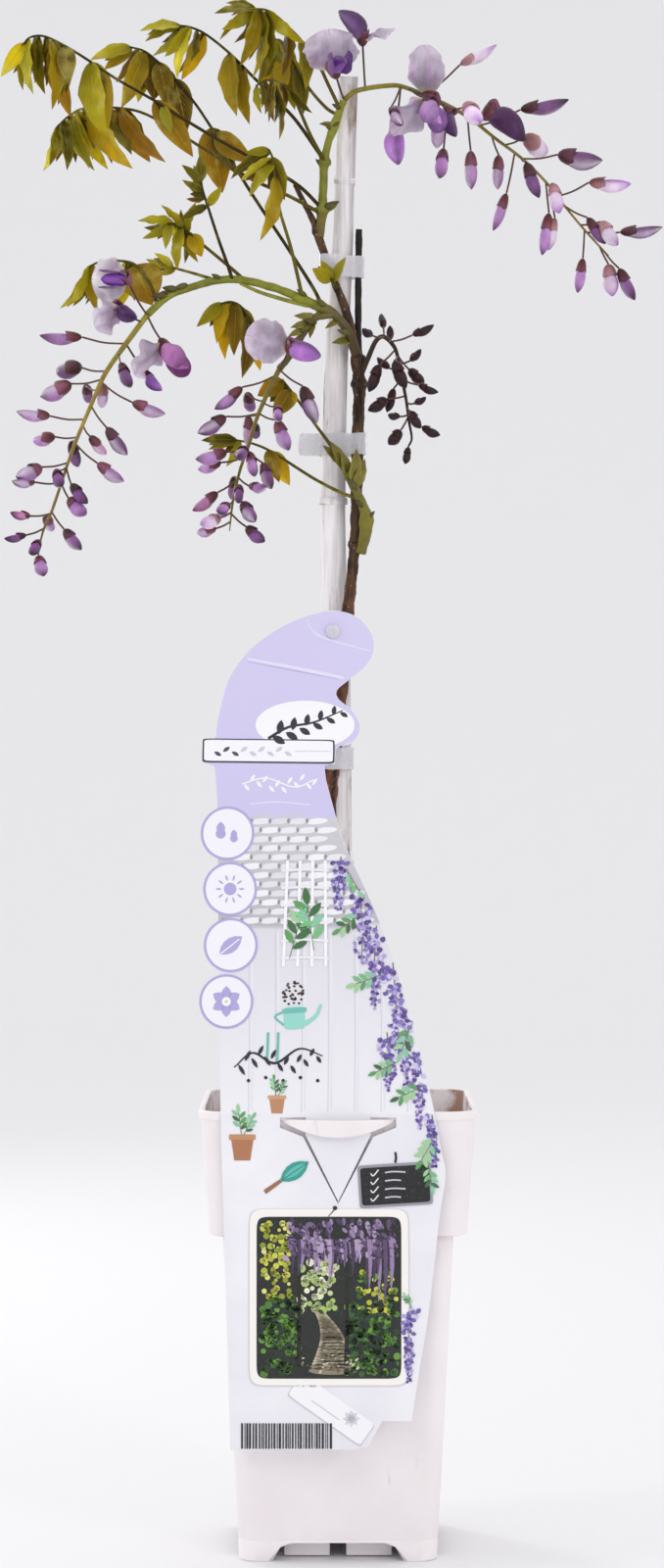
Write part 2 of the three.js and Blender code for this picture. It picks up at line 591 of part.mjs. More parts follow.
// Each raceme: its rachis with radii, its buds and its open flowers. A bud is the height where its
// stalk leaves the rachis, then x and z of its neck, x and z of its tip, its width, and -1 or 1 where
// it is plain that it stands before or behind. stalk and bud are the full lengths at both ends of the
// raceme: what doesn't show of them runs forwards or backwards.
const RACEMES = {
  raceme_left: {
    rachis: [
      [-97.4, -25, 625.2, 1.9], [-107.5, -29, 611.6, 1.8], [-118.1, -32, 596.6, 1.6], [-124, -34, 584, 1.45],
      [-132.5, -36, 564, 1.3], [-138.2, -37.5, 548.7, 1.1], [-145.8, -39, 526, 1], [-150.5, -40, 515, 0.8],
      [-153, -41, 503.5, 0.7],
    ],
    stalk: [20, 7], bud: [20, 13],
    buds: [
      [610.4, -130.6, 614, -152.5, 614.1, 6.2], [605.4, -110.9, 600.7, -105.8, 588, 6, -1],
      [596.6, -131.9, 598.8, -143.6, 596.9, 8.6], [592.1, -136.2, 590.2, -152.2, 583.2, 8.5],
      [592, -119.7, 590, -120.6, 578, 5.8, 1], [590.7, -105, 580.7, -88, 574.1, 6.5],
      [586.3, -128.5, 589, -127, 581.5, 5.5, 1], [578.3, -118.2, 568, -107.5, 553.3, 6.5],
      [571.7, -146.8, 573.7, -164.2, 575.5, 6], [568.7, -126.5, 563.3, -118.2, 554, 5.5],
      [562.5, -145.2, 563.3, -155.5, 561.2, 6.5], [562, -136.2, 561, -132.5, 547.5, 6, 1],
      [559.7, -122.8, 549.7, -109.2, 539.7, 6.5], [549.5, -151.2, 547.7, -164.5, 542, 8],
      [546, -143.8, 546, -141.5, 537.7, 5.8, -1], [546, -136.2, 539, -127.7, 528.7, 6],
      [538.8, -154.8, 540, -166.5, 540.1, 5], [538, -137.5, 531.7, -128.5, 522.7, 7.3],
      [524.3, -139.8, 516, -130.8, 505, 6.3], [524, -149.2, 522.7, -145.8, 515.7, 5.5, 1],
      [523.5, -157.2, 522.7, -167.3, 524.3, 4.5], [516.3, -159.2, 513, -170.5, 510.8, 4.2],
      [511, -152.5, 510, -157, 503, 5.5, -1], [503.6, -153, 502.3, -150.2, 491.9, 6.5],
    ],
    flowers: [
      { root: 625, at: [-109.5, -38, 643.5], faces: [-0.8, -0.6, 0], up: [0, -0.1, 1], size: 22 },
      { root: 625, at: [-89, -31, 609], faces: [0.85, -0.3, -0.55], up: [-0.75, -0.1, -0.45], size: 20 },
      { root: 621, at: [-110.5, -39, 626], faces: [-0.3, -0.4, -0.85], up: [-0.9, -0.3, 0.3], size: 15 },
      { root: 610, at: [-99.5, -25, 599], faces: [0.6, -0.2, -0.75], up: [-0.7, -0.5, -0.5], size: 16 },
    ],
  },
  raceme_middle: {
    rachis: [
      [-30, -33, 597.5, 1.7], [-37, -37, 583, 1.5], [-42, -39.5, 571, 1.3], [-45.5, -41, 559, 1.15],
      [-50, -42, 546, 1], [-53.5, -43, 531, 0.9], [-55.3, -44, 515, 0.7],
    ],
    stalk: [17, 6], bud: [19, 13],
    buds: [
      [602, -18.1, 589.1, -10.6, 569.8, 7.5, -1], [594.4, -48.8, 588.5, -63.1, 576.6, 6],
      [580.7, -46.2, 585, -44.1, 576.6, 5.8, 1], [580, -30.6, 578.5, -30.6, 571.6, 5, -1],
      [575, -57.2, 573.5, -71.6, 564.4, 7], [575, -31.2, 571.6, -25, 555.7, 7, -1],
      [575, -45.6, 574, -46, 558, 5.5, 1], [572, -41.9, 569.4, -41.9, 562.8, 4.5, 1],
      [557, -56.6, 555.4, -72.8, 551, 7, -1], [557, -46.9, 557, -51.9, 552.9, 6, -1],
      [556.5, -45, 555.4, -42.5, 542.6, 5.5, -1], [556, -38.4, 549.8, -33.8, 536.3, 6.5, -1],
      [552.4, -60, 550, -71.6, 546.3, 5.5], [543, -52.8, 542.9, -54.4, 531, 5, 1],
      [542.3, -45, 537.9, -36.3, 537.3, 5], [541, -61.3, 534.8, -74.4, 524.8, 6],
      [539, -50.3, 538.5, -50.9, 529.3, 5, -1], [535, -48.8, 529.8, -42.2, 519.4, 7],
      [530, -55.9, 528.5, -61.6, 524.8, 5.5], [524, -60, 521.9, -70.6, 518.5, 6.5],
      [523.2, -46.9, 517.3, -37.2, 509.1, 6.3], [519.1, -62.5, 516.3, -72.2, 514.1, 5],
    ],
    flowers: [
      {
        root: 597, at: [-25, -42, 609.5], faces: [0.75, -0.65, -0.2], up: [-0.65, -0.7, 0.02],
        size: 23, nod: -0.7,
      },
    ],
  },
  raceme_right: {
    rachis: [
      [12, -5.5, 595, 1.8], [15.5, -10, 603.5, 1.7], [19.4, -12, 612, 1.6], [23.3, -13, 614.2, 1.5],
      [27.8, -14, 610.4, 1.4], [30.5, -15.5, 604.3, 1.2], [33.9, -17, 587.1, 1.1], [35, -18, 581, 1],
      [36.3, -18.5, 571, 0.9], [37.7, -19, 562.4, 0.75], [35.9, -19, 558, 0.65],
    ],
    stalk: [12, 6], bud: [12, 9.5],
    buds: [
      [614, 23.3, 619.1, 22.1, 626, 4, 1], [612, 26.9, 613.2, 26.5, 619.9, 3.7, -1],
      [613.8, 17.2, 614.9, 12.5, 618.1, 4, -1], [611.4, 38, 615, 49.2, 619.9, 4.5],
      [607.4, 21.1, 600, 15.8, 585.7, 6, -1], [604.9, 36.1, 597.7, 44.2, 590.2, 5.5],
      [603.5, 28.8, 602, 34.8, 587.5, 6.5, -1], [600, 37.2, 602.1, 42.5, 607.7, 4],
      [597, 26.1, 598.2, 20, 603.5, 4, 1], [593.2, 28.6, 587.9, 25, 575.4, 4.5],
      [591.6, 41.1, 589.6, 51.4, 585.4, 4.2], [583.8, 25, 582.7, 15.3, 576, 6],
      [579.9, 39.4, 580.2, 45, 583.2, 3.5], [577.5, 36.9, 576.3, 42.2, 567.1, 5, -1],
      [575, 42.8, 568.2, 52.3, 563.5, 4.5, 1], [573.9, 31.4, 573.5, 25.6, 574.3, 3.5],
      [572.7, 32.2, 566.6, 25.8, 558.8, 6], [558.3, 36, 557.9, 34.4, 549.1, 3.9],
    ],
    flowers: [],
  },
  raceme_upper_right: {
    rachis: [
      [3.2, -8.6, 735, 1.8], [10, -8.5, 739.8, 1.7], [25.6, -7.5, 742.3, 1.6], [35, -6.5, 741.2, 1.5],
      [54, -5, 733.2, 1.4], [66.8, -3, 726.1, 1.25], [80.3, 0, 715.4, 1.1], [94.6, 3, 704.6, 1],
      [107.4, 5, 691.8, 0.9], [115, 7, 681.8, 0.8], [126, 10, 668.6, 0.75], [138, 13, 655.5, 0.65],
    ],
    stalk: [18, 8], bud: [20, 16],
    buds: [
      [742, 27, 731, 33, 722, 5.5, -1], [737.2, 62.4, 753, 81.2, 762.6, 5.5, 1],
      [735.6, 51.8, 727.9, 50.6, 710.1, 7.5, 1], [732, 54, 710.1, 51.8, 694.8, 6.5, -1],
      [730.4, 65.6, 732.6, 72.4, 723.6, 9, -1], [726.5, 67.8, 709.2, 68.1, 689.2, 6.5],
      [721.3, 93.1, 730, 118.1, 734.3, 7, -1], [716, 82.1, 707, 81.5, 689.1, 6],
      [711.3, 95.6, 716.2, 107, 707.5, 9.5, 1], [707.8, 86.1, 687.5, 79.2, 667.9, 5.5],
      [706, 96, 703.2, 102.8, 684.6, 7, -1], [704.6, 112.1, 707.1, 135.3, 703.2, 9.5],
      [693, 107.8, 677.4, 104.2, 655.5, 6, -1], [692, 109.6, 692.4, 113.1, 676.9, 7, -1],
      [691, 110.8, 675, 107.5, 658, 5, 1], [685.5, 128.1, 692.9, 149.9, 691.4, 6.8],
      [680, 127.4, 675, 136.7, 661, 5.5, 1], [671, 134.2, 672.9, 143, 660.4, 7.5, -1],
      [668.6, 125.1, 654.3, 122.3, 636.3, 5.3], [667.5, 143.9, 667.5, 165.9, 669.3, 6, 1],
      [659.3, 138.1, 651.4, 140.3, 634.6, 7.5, -1], [657.3, 143.5, 649.1, 151.7, 632.4, 6.2, 1],
    ],
    flowers: [
      {
        root: 740.5, at: [11.5, -9, 767], faces: [-0.45, -0.25, 0.85], up: [0.9, -0.35, 0.3],
        size: 23, nod: 0, rising: true,
      },
      {
        root: 735, at: [-1.5, -19, 751], faces: [0.1, -1, -0.15], up: [-0.25, 0.1, 1],
        size: 24, rising: true,
      },
      { root: 741, at: [44, -14, 741], faces: [-0.1, -0.8, -0.6], up: [0.1, -0.35, 1], size: 24 },
      { root: 740, at: [45, -19, 736], faces: [0, -1, 0.1], up: [-0.3, -0.2, -1], size: 24 },
      { root: 742, at: [30, -13, 721], faces: [-0.1, -0.35, -1], up: [-0.6, -0.7, 0.1], size: 22 },
      { root: 722, at: [79, -6, 727], faces: [0.85, -0.4, -0.45], up: [0.2, -0.9, 0.4], size: 22 },
    ],
  },
};

// The point of a rachis at a height. Where it rises before it falls, the falling part is meant unless
// rising says otherwise.
function pointAtHeight(line, z, rising = false) {
  const points = line.getPoints(120);
  if (!rising) points.reverse();
  return points.find((p) => p.z >= z) ?? line.getPoint(0);
}

// The point that shows at x and z and lies a full length from another one, before or behind it.
function reachTo(from, x, z, full, side) {
  const hidden = Math.sqrt(Math.max(full ** 2 - (x - from.x) ** 2 - (z - from.z) ** 2, 0));
  return vec([x, from.y + side * hidden, z]);
}

function raceme(spec, seed) {
  const line = lineThrough(spec.rachis);
  const pieces = [stem({ stations: spec.rachis, sides: 5, split: 1 })];
  spec.buds.forEach(([height, neckX, neckZ, tipX, tipZ, width, side], i) => {
    const share = i / (spec.buds.length - 1);
    const facing = side ?? (draw(seed + i) < 0.5 ? -1 : 1);
    const root = pointAtHeight(line, height);
    const neck = reachTo(root, neckX, neckZ, mix(spec.stalk[0], spec.stalk[1], share), facing);
    const tip = reachTo(neck, tipX, tipZ, mix(spec.bud[0], spec.bud[1], share), facing);
    pieces.push(stalkedBud(root, neck, tip, width));
  });
  for (const flower of spec.flowers)
    pieces.push(openFlower(pointAtHeight(line, flower.root, flower.rising), flower));
  return fuse(pieces);
}

// ---------------------------------------------------------------- pot
function roundedSquare(half, z) {
  const arcSteps = 3;
  const radius = (POT.cornerRadius * half) / POT.rimHalf;
  const corners = [];
  for (let q = 0; q < 4; q++)
    for (let k = 0; k <= arcSteps; k++) {
      const a = ((q + k / arcSteps) * Math.PI) / 2;
      const cx = (half - radius) * (q === 0 || q === 3 ? 1 : -1);
      const cy = (half - radius) * (q < 2 ? 1 : -1);
      corners.push(new THREE.Vector3(cx + radius * Math.cos(a), cy + radius * Math.sin(a), z));
    }
  return corners;
}

// A square body with round corners through levels of height and half-width.
const squareBody = (levels) => solidOf(loft(levels.map(([z, half]) => roundedSquare(half, z))));

// Half-width of the pot's outside at a height.
function outsideHalf(z) {
  if (z <= POT.collarBottom) return mix(POT.baseHalf, POT.bodyHalf, z / POT.collarBottom);
  return mix(POT.collarHalf, POT.rimHalf, (z - POT.collarBottom) / (POT.height - POT.collarBottom));
}

function box(low, high) {
  const size = high.map((h, i) => h - low[i]);
  const middle = high.map((h, i) => (h + low[i]) / 2);
  return solidOf(new THREE.BoxGeometry(...size).translate(...middle));
}

// The same shape in the front view right through the card and the strap, from y = 0 forwards.
const frontPrism = (shape, curveSegments) =>
  solidOf(plate(shape, 100, curveSegments).rotateX(Math.PI / 2));

// A strap moulded on the rim and bowed out, with a curved lower edge, that the card's tongue slides behind.
function cardStrap() {
  const steps = 8;
  const arch = (k) => 1 - ((2 * k) / steps - 1) ** 2;
  const across = (k, reach) => mix(-reach, reach, k / steps);
  const along = Array.from({ length: steps + 1 }, (_, k) => k);
  const back = along.map((k) => [across(k, STRAP.halfWidth), 1 - POT.rimHalf - STRAP.bow * arch(k)]);
  const front = back.map(([x, y]) => [x, y - STRAP.thick]);
  const depth = STRAP.drop + 2;
  const above = shapeOf([...front, ...back.reverse()]);
  const bar = solidOf(plate(above, depth).translate(0, 0, STRAP.top - depth + 1));
  const reach = STRAP.halfWidth + 0.5;
  const lower = along.map((k) => [
    across(k, reach),
    STRAP.top - STRAP.endDrop - (STRAP.drop - STRAP.endDrop) * arch(k),
  ]);
  const smile = shapeOf([...lower, [reach, STRAP.top], [-reach, STRAP.top]]);
  return bar.intersect(frontPrism(smile));
}

function pot() {
  const { height, lipHeight, lipOut, collarBottom, wall } = POT;
  const rim = outsideHalf(height - lipHeight);
  const outside = squareBody([
    [0, POT.baseHalf],
    [collarBottom, POT.bodyHalf],
    [collarBottom, POT.collarHalf],
    [height - lipHeight, rim],
    [height - lipHeight, rim + lipOut],
    [height, POT.rimHalf + lipOut],
  ]);
  const inside = squareBody([
    [POT.floorTop, outsideHalf(POT.floorTop) - wall],
    [collarBottom + wall, POT.bodyHalf - wall],
    [collarBottom + wall, POT.collarHalf - wall],
    [height + 1, POT.rimHalf - wall],
  ]);
  const under = squareBody([
    [-1, POT.baseHalf - POT.footThick],
    [POT.floorBottom, POT.baseHalf - POT.footThick],
  ]);
  const notchTop = POT.floorBottom - 0.5;
  const notch = POT.notchHalf;
  const reach = POT.rimHalf;
  const cuts = [
    inside,
    under,
    box([-notch, -reach, -1], [notch, reach, notchTop]),
    box([-reach, -notch, -1], [reach, notch, notchTop]),
  ];
  for (const [x, y] of [[-1, -1], [1, -1], [-1, 1], [1, 1]]) {
    const drain = new THREE.CylinderGeometry(DRAIN.radius, DRAIN.radius, 12, DRAIN.sides);
    cuts.push(solidOf(drain.rotateX(Math.PI / 2).translate(x * DRAIN.at, y * DRAIN.at, POT.floorTop)));
  }
  return fuse([outside.subtract(fuse(cuts)), ...innerFeet(), cardStrap()]);
}

// Short ribs under the floor, set back from the feet on all four sides.
function innerFeet() {
  const place = POT.baseHalf - RIB.inset;
  const top = POT.floorBottom + 1;
  const ribs = [];
  for (const s of [-1, 1])
    for (const t of [-1, 1]) {
      const [a, b] = s > 0 ? [RIB.near, RIB.far] : [-RIB.far, -RIB.near];
      const [c, d] = [t * place - RIB.halfThick, t * place + RIB.halfThick];
      ribs.push(box([a, c, RIB.bottom], [b, d, top]), box([c, a, RIB.bottom], [d, b, top]));
    }
  return ribs;
}

// ---------------------------------------------------------------- soil
// A block with an uneven top, closed below by a copy of the same grid at one height.
function unevenBlock(half, cells, heightOf, bottom) {
  const n = cells + 1;
  const corners = [];
  for (const flatBottom of [false, true])
    for (let i = 0; i < n * n; i++) {
      const x = mix(-half, half, (i % n) / cells);
      const y = mix(-half, half, Math.floor(i / n) / cells);
      corners.push(x, y, flatBottom ? bottom : heightOf(x, y, i));
    }
  const faces = [];
  const quad = (a, b, c, d) => faces.push(a, b, c, a, c, d);
  const under = n * n;
  for (let r = 0; r < cells; r++)
    for (let c = 0; c < cells; c++) {
      const a = r * n + c;
      quad(a, a + 1, a + n + 1, a + n);
      quad(under + a, under + a + n, under + a + n + 1, under + a + 1);
    }
  for (let k = 0; k < cells; k++) {
    const far = cells * n + k;
    quad(under + k, under + k + 1, k + 1, k);
    quad(under + far + 1, under + far, far, far + 1);
    quad(under + (k + 1) * n, under + k * n, k * n, (k + 1) * n);
    quad(under + k * n + cells, under + (k + 1) * n + cells, (k + 1) * n + cells, k * n + cells);
  }
  const geometry = new THREE.BufferGeometry();
  geometry.setAttribute("position", new THREE.Float32BufferAttribute(corners, 3));
  geometry.setIndex(faces);
  return solidOf(geometry);
}

// The hole that a stem stands in: the stem with air round it and below its foot.
function standingHole(spec) {
  const [[x, y, z, radius], ...rest] = spec.stations;
  return stem({ ...spec, stations: [[x, y, z - SOIL.holeGap, radius], ...rest] }, SOIL.holeGap);
}

function soil() {
  const inset = POT.wall + GAP + 0.1;
  const ledge = POT.collarBottom + POT.wall + GAP;
  const filling = squareBody([
    [POT.floorTop + GAP, outsideHalf(POT.floorTop) - inset],
    [ledge, POT.bodyHalf - inset],
    [ledge, POT.collarHalf - inset],
    [POT.height, POT.rimHalf - inset],
  ]);
  const heightOf = (x, y, i) =>
    SOIL.top +
    SOIL.mound * Math.exp(-(x * x + y * y) / SOIL.moundRadius ** 2) +
    SOIL.relief * (2 * draw(i) - 1);
  const ground = unevenBlock(POT.rimHalf, SOIL.cells, heightOf, 0);
  const holes = fuse([standingHole(STEMS.trunk), standingHole(STEMS.bamboo_cane)]);
  return filling.intersect(ground).subtract(holes);
}

// ---------------------------------------------------------------- hang card
// Height and depth of the card's middle: hanging free below the rim, leaning back to the cane above it.
const CARD_LEAN = [
  [56, -75], [115, -72.6], [170, -70.8], [225, -69.95], [262, -66.5], [310, -57.5], [370, -42],
  [430, -26], [478, -17.2],
];
const BADGES = [[-55, 279], [-53, 306.5], [-53.5, 334], [-55, 361.5]];
const CARD_RIGHT_EDGE = [
  [39.8, 99], [44.5, 128], [49.8, 174], [52.7, 194], [50.5, 207], [46.8, 227], [41.5, 251], [35.5, 275],
  [27.5, 299], [19.3, 321], [9.7, 342.5], [3, 356], [-2.5, 375], [-6, 388],
];
const CARD_CREST = [
  [7.4, 407], [11.3, 414.4], [7.4, 422.6], [0.5, 428.5], [-0.5, 433], [5, 438], [13.2, 444.5], [17.8, 452],
  [17.4, 461], [10.8, 469.6], [0, 473.4], [-12, 472], [-27, 466], [-43, 455], [-54.5, 440], [-60, 421],
  [-61.6, 409],
];

function cardDepth(z) {
  const above = CARD_LEAN.findIndex(([height]) => height > z);
  const [[za, ya], [zb, yb]] = [CARD_LEAN[above - 1], CARD_LEAN[above]];
  return mix(ya, yb, (z - za) / (zb - za));
}

function cardOutline() {
  const outline = new THREE.Shape();
  outline.moveTo(-52.7, 60.5);
  for (const p of [[7.7, 60.5], [14.8, 62], [21.5, 74.4], [36, 74.4]]) outline.lineTo(...p);
  outline.splineThru(CARD_RIGHT_EDGE.map(flat));
  for (const p of [[-7, 396], [-1.5, 396], [-1.2, 404.5]]) outline.lineTo(...p);
  outline.splineThru(CARD_CREST.map(flat));
  const leftEdge = [[-67.5, 408.8], [-68.3, 397], [-62, 396], [-60.5, 379], [-57.5, 215]];
  for (const p of leftEdge) outline.lineTo(...p);
  return outline;
}

// Two mirrored slots that the strap passes through, each running down as a kerf to the tongue's point.
function strapSlot(s) {
  const bottom = STRAP.top - STRAP.drop;
  const corners = [
    [CARD.slotNear, STRAP.top + 1],
    [CARD.slotFar, STRAP.top + 1],
    [CARD.slotFar, STRAP.top - 4],
    [CARD.slotNear + 2.5, bottom],
    [CARD.kerf, CARD.tipZ + 1.2],
    [0, CARD.tipZ],
    [-CARD.kerf * 0.2, CARD.tipZ + 1.2],
    [CARD.slotNear, bottom + 1],
  ];
  return frontPrism(shapeOf(corners.map(([x, z]) => [x * s, z])));
}

function roundPrism(x, z, radius, quarterSteps) {
  const disc = new THREE.Shape();
  disc.absarc(x, z, radius, 0, 2 * Math.PI);
  return frontPrism(disc, quarterSteps);
}

function hangCard() {
  const front = CARD_LEAN.map(([z, y]) => [y - CARD.thick / 2, z]);
  const back = CARD_LEAN.map(([z, y]) => [y + CARD.thick / 2, z]);
  // The bent side view lies in depth and height and is carried sideways across the card.
  const sideways = new THREE.Matrix4().set(0, 0, 1, -CARD.halfSpan, 1, 0, 0, 0, 0, 1, 0, 0, 0, 0, 0, 1);
  const side = shapeOf([...front, ...back.reverse()]);
  const sheet = solidOf(plate(side, 2 * CARD.halfSpan).applyMatrix4(sideways));
  const badges = BADGES.map(([x, z]) => roundPrism(x, z, BADGE_RADIUS, 12));
  const cut = fuse([strapSlot(-1), strapSlot(1), roundPrism(PIN.x, PIN.z, PIN.shaft + GAP, 5)]);
  return sheet.intersect(fuse([frontPrism(cardOutline(), 1), ...badges]).subtract(cut));
}

// The clear push pin that goes through the card's top towards the cane.
function pushPin() {
  const start = cardDepth(PIN.z) - CARD.thick / 2 - PIN.headThick - GAP - 0.7;
  const profile = [
    [0, start - 0.6],
    [PIN.head * 0.6, start - 0.3],
    [PIN.head, start + PIN.headThick * 0.5],
    [PIN.head, start + PIN.headThick],
    [PIN.shaft, start + PIN.headThick],
    [PIN.shaft, PIN.endY - 1],
    [0, PIN.endY],
  ];
  const turned = new THREE.LatheGeometry(profile.map(flat), 10);
  return solidOf(turned.translate(PIN.x, 0, PIN.z));
}

// ---------------------------------------------------------------- clear ties
// The outline that a tight band takes round a set of points, counter-clockwise.
function tightBand(points) {
  const sorted = [...points].sort((a, b) => a.x - b.x || a.y - b.y);
  const turn = (o, a, b) => (a.x - o.x) * (b.y - o.y) - (a.y - o.y) * (b.x - o.x);
  const half = (list) => {
    const chain = [];
    for (const p of list) {
      while (chain.length > 1 && turn(chain.at(-2), chain.at(-1), p) <= 0) chain.pop();
      chain.push(p);
    }
    return chain.slice(0, -1);
  };
  return [...half(sorted), ...half(sorted.reverse())];
}

// Each tie: the height of its foot, and the stems that it holds as x, y and radius.
const TIES = {
  tie_upper: { foot: 644, holds: [[1.7, 2, 5.7], [10.6, -1, 1.9], [-2.3, -8.6, 2.2], [-6.2, -8.6, 2.2]] },
  tie_middle: { foot: 553.5, holds: [[-2.1, 2, 6.5], [10, -5, 3.2]] },
  tie_lower: { foot: 393.5, holds: [[0, 2, 7.1], [-2.7, -12.4, 4.8]] },
};

function tieBand({ foot, holds }) {
  const around = (extra) => {
    const points = holds.flatMap(([x, y, r]) =>
      Array.from({ length: TIE.roundSides }, (_, k) => {
        const a = (2 * Math.PI * k) / TIE.roundSides;
        return new THREE.Vector2(x + (r + extra) * Math.cos(a), y + (r + extra) * Math.sin(a));
      }),
    );
    return tightBand(points);
  };
  const band = new THREE.Shape(around(TIE.air + TIE.thick));
  band.holes.push(new THREE.Path(around(TIE.air)));
  return solidOf(plate(band, TIE.height).translate(0, 0, foot));
}

// ---------------------------------------------------------------- putting it together
const plant = new THREE.Group();
const add = (name, solid, material) => plant.add(meshOf(name, solid, material));

const grown = {};
const clearance = {};
for (const [name, spec] of Object.entries(STEMS)) {
  grown[name] = fuse([stem(spec), ...(SCALES[name] ?? []).map(scale)]);
  clearance[name] = stem(spec, ROOT_GAP);
}
// The side stem is old wood of the trunk, and so is one piece with it.
grown.trunk = grown.trunk.add(grown.side_stem);
clearance.trunk = clearance.trunk.add(clearance.side_stem);
grown.shoot_lower = grown.shoot_lower.add(pinnateLeaf(LEAF_OVER_BLOOM, 100));

const rootedIn = (piece, carrier) => withoutScraps(piece.subtract(carrier));
add("pot", pot(), MATERIALS.pot);
add("soil", soil(), MATERIALS.soil);
add("bamboo_cane", grown.bamboo_cane, MATERIALS.cane);
add("trunk", grown.trunk, MATERIALS.wood);
add("shoot_upper", rootedIn(grown.shoot_upper, clearance.trunk), MATERIALS.shoot);
add("shoot_left", rootedIn(grown.shoot_left, clearance.trunk), MATERIALS.shoot);
add("spur_middle", rootedIn(grown.spur_middle, clearance.shoot_left), MATERIALS.shoot);
add("shoot_lower", rootedIn(grown.shoot_lower, clearance.trunk), MATERIALS.shoot);

const carriers = fuse(Object.values(clearance));
Object.entries(LEAVES).forEach(([name, leaf], i) => {
  add(name, rootedIn(pinnateLeaf(leaf, 200 * (i + 1)), carriers), MATERIALS.leaf);
});
Object.entries(RACEMES).forEach(([name, spec], i) => {
  const material = name === "raceme_right" ? MATERIALS.darkBloom : MATERIALS.bloom;
  add(name, rootedIn(raceme(spec, 5000 + 200 * i), carriers), material);
});
add("hang_card", hangCard(), MATERIALS.card);
add("push_pin", pushPin(), MATERIALS.pin);
for (const [name, tie] of Object.entries(TIES)) add(name, tieBand(tie), MATERIALS.tie);

// The part's origin is the middle of its footprint box, on the surface that it stands on.
const middle = new THREE.Box3().setFromObject(plant).getCenter(new THREE.Vector3());
plant.position.set(-middle.x, -middle.y, 0);

export default plant;
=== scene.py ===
# %% [markdown]
# # A young wisteria in its nursery pot
#
# The plant climbs a whitened bamboo cane in a tall square pot, with a large printed card hung in front. The
# solids of the frame give every size and place. This script dresses them: each piece is a surface worked out
# with numpy, and each finish is a small network of shader nodes.

# %% Load the frame
import math

import bmesh
import bpy
import numpy as np
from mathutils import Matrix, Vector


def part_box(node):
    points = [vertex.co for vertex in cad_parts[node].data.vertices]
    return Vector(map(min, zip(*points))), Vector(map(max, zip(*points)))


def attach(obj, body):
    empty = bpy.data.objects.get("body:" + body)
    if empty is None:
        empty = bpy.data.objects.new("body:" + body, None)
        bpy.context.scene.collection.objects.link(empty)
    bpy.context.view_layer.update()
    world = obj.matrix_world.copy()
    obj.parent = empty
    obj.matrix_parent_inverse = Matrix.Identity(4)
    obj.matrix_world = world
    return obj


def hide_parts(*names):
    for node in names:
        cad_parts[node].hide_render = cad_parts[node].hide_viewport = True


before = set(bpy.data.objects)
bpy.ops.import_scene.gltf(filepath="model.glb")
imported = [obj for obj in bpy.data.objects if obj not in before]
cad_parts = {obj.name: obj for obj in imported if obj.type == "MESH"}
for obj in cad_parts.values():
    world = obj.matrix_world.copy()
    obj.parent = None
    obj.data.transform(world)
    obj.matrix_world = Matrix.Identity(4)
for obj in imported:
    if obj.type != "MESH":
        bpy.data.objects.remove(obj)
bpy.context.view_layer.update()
print(len(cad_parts), "nodes in the frame")

# %% [markdown]
# ## Where things are
#
# Lengths in this script are millimetres, with the pot's axis at x = y = 0 and the front towards -y. The
# frame is in metres and has its origin elsewhere, so the pot's own box tells how far to shift. The plant is
# laid out as an eye in front of it sees it: x and z of a point are where the line from the eye to it meets
# the plane y = 0, and y is its true depth. That way a leaf can be bent forwards without its outline sliding.

# %% Shift, eye and camera
MM = 0.001
POT = {
    "height": 225,
    "rim_half": 68,
    "lip_out": 1,
    "lip_tall": 4,
    "collar_half": 64,
    "collar_bottom": 163,
    "body_half": 57.5,
    "base_half": 49.5,
    "corner": 13,
    "wall": 1.8,
    "floor_bottom": 10,
    "floor_top": 12.5,
    "notch_half": 29,
}
low, high = (np.array(corner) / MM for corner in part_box("pot"))
SHIFT = np.array([(low[0] + high[0]) / 2, high[1] - POT["rim_half"] - POT["lip_out"], 0])
EYE = np.array([-3.0, 0.0, 386.0])
EYE_DISTANCE = 1800.0
FRAME_HEIGHT = 800.0
SENSOR = 24.0
FARTHEST_SEEN = 60
print("the pot's axis is at", SHIFT.round(2), "mm")


def in_place(points):
    """Laid-out points brought to where they truly are: x and z grow from the eye's by 1 + y / distance."""
    share = 1 + points[..., 1:2] / EYE_DISTANCE
    placed = EYE + (points - EYE) * share
    placed[..., 1] = points[..., 1]
    return placed


def in_metres(points):
    """This script's millimetres from the pot's axis as the frame's metres."""
    return (points + SHIFT) * MM


def add_object(name, data):
    """A new object that shows the data, in the scene."""
    made = bpy.data.objects.new(name, data)
    bpy.context.scene.collection.objects.link(made)
    return made


camera = add_object("camera", bpy.data.cameras.new("camera"))
bpy.context.scene.camera = camera
camera.location = in_metres(EYE + [0, -EYE_DISTANCE, 0])
camera.rotation_euler = (math.pi / 2, 0, 0)
camera.data.sensor_fit = "VERTICAL"
camera.data.sensor_height = SENSOR
camera.data.lens = SENSOR * EYE_DISTANCE / FRAME_HEIGHT
camera.data.clip_end = FARTHEST_SEEN
print("lens", camera.data.lens, "mm")

# %% [markdown]
# ## Surfaces
#
# A surface is a grid of points, rows by columns. Rows follow a stem, leaf or wall, and columns go across or
# round it. `surface` keeps a grid with its UVs and its tint, and `make_piece` turns several of them into one
# mesh: the quads come from index arithmetic, and coinciding points at poles and seams are welded.

# %% Vectors and smooth lines
UP = np.array([0.0, 0.0, 1.0])
DEPTH = np.array([0.0, 1.0, 0.0])


def unit(v):
    """v, or every row of it, at length one."""
    return v / np.linalg.norm(v, axis=-1, keepdims=True)


def mix(a, b, t):
    """From a at t = 0 straight to b at t = 1."""
    return a + (b - a) * t


def draw(n):
    """The same number from 0 to 1 every time for the same n."""
    v = math.sin(n * 12.9898 + 78.233) * 43758.5453
    return v - math.floor(v)


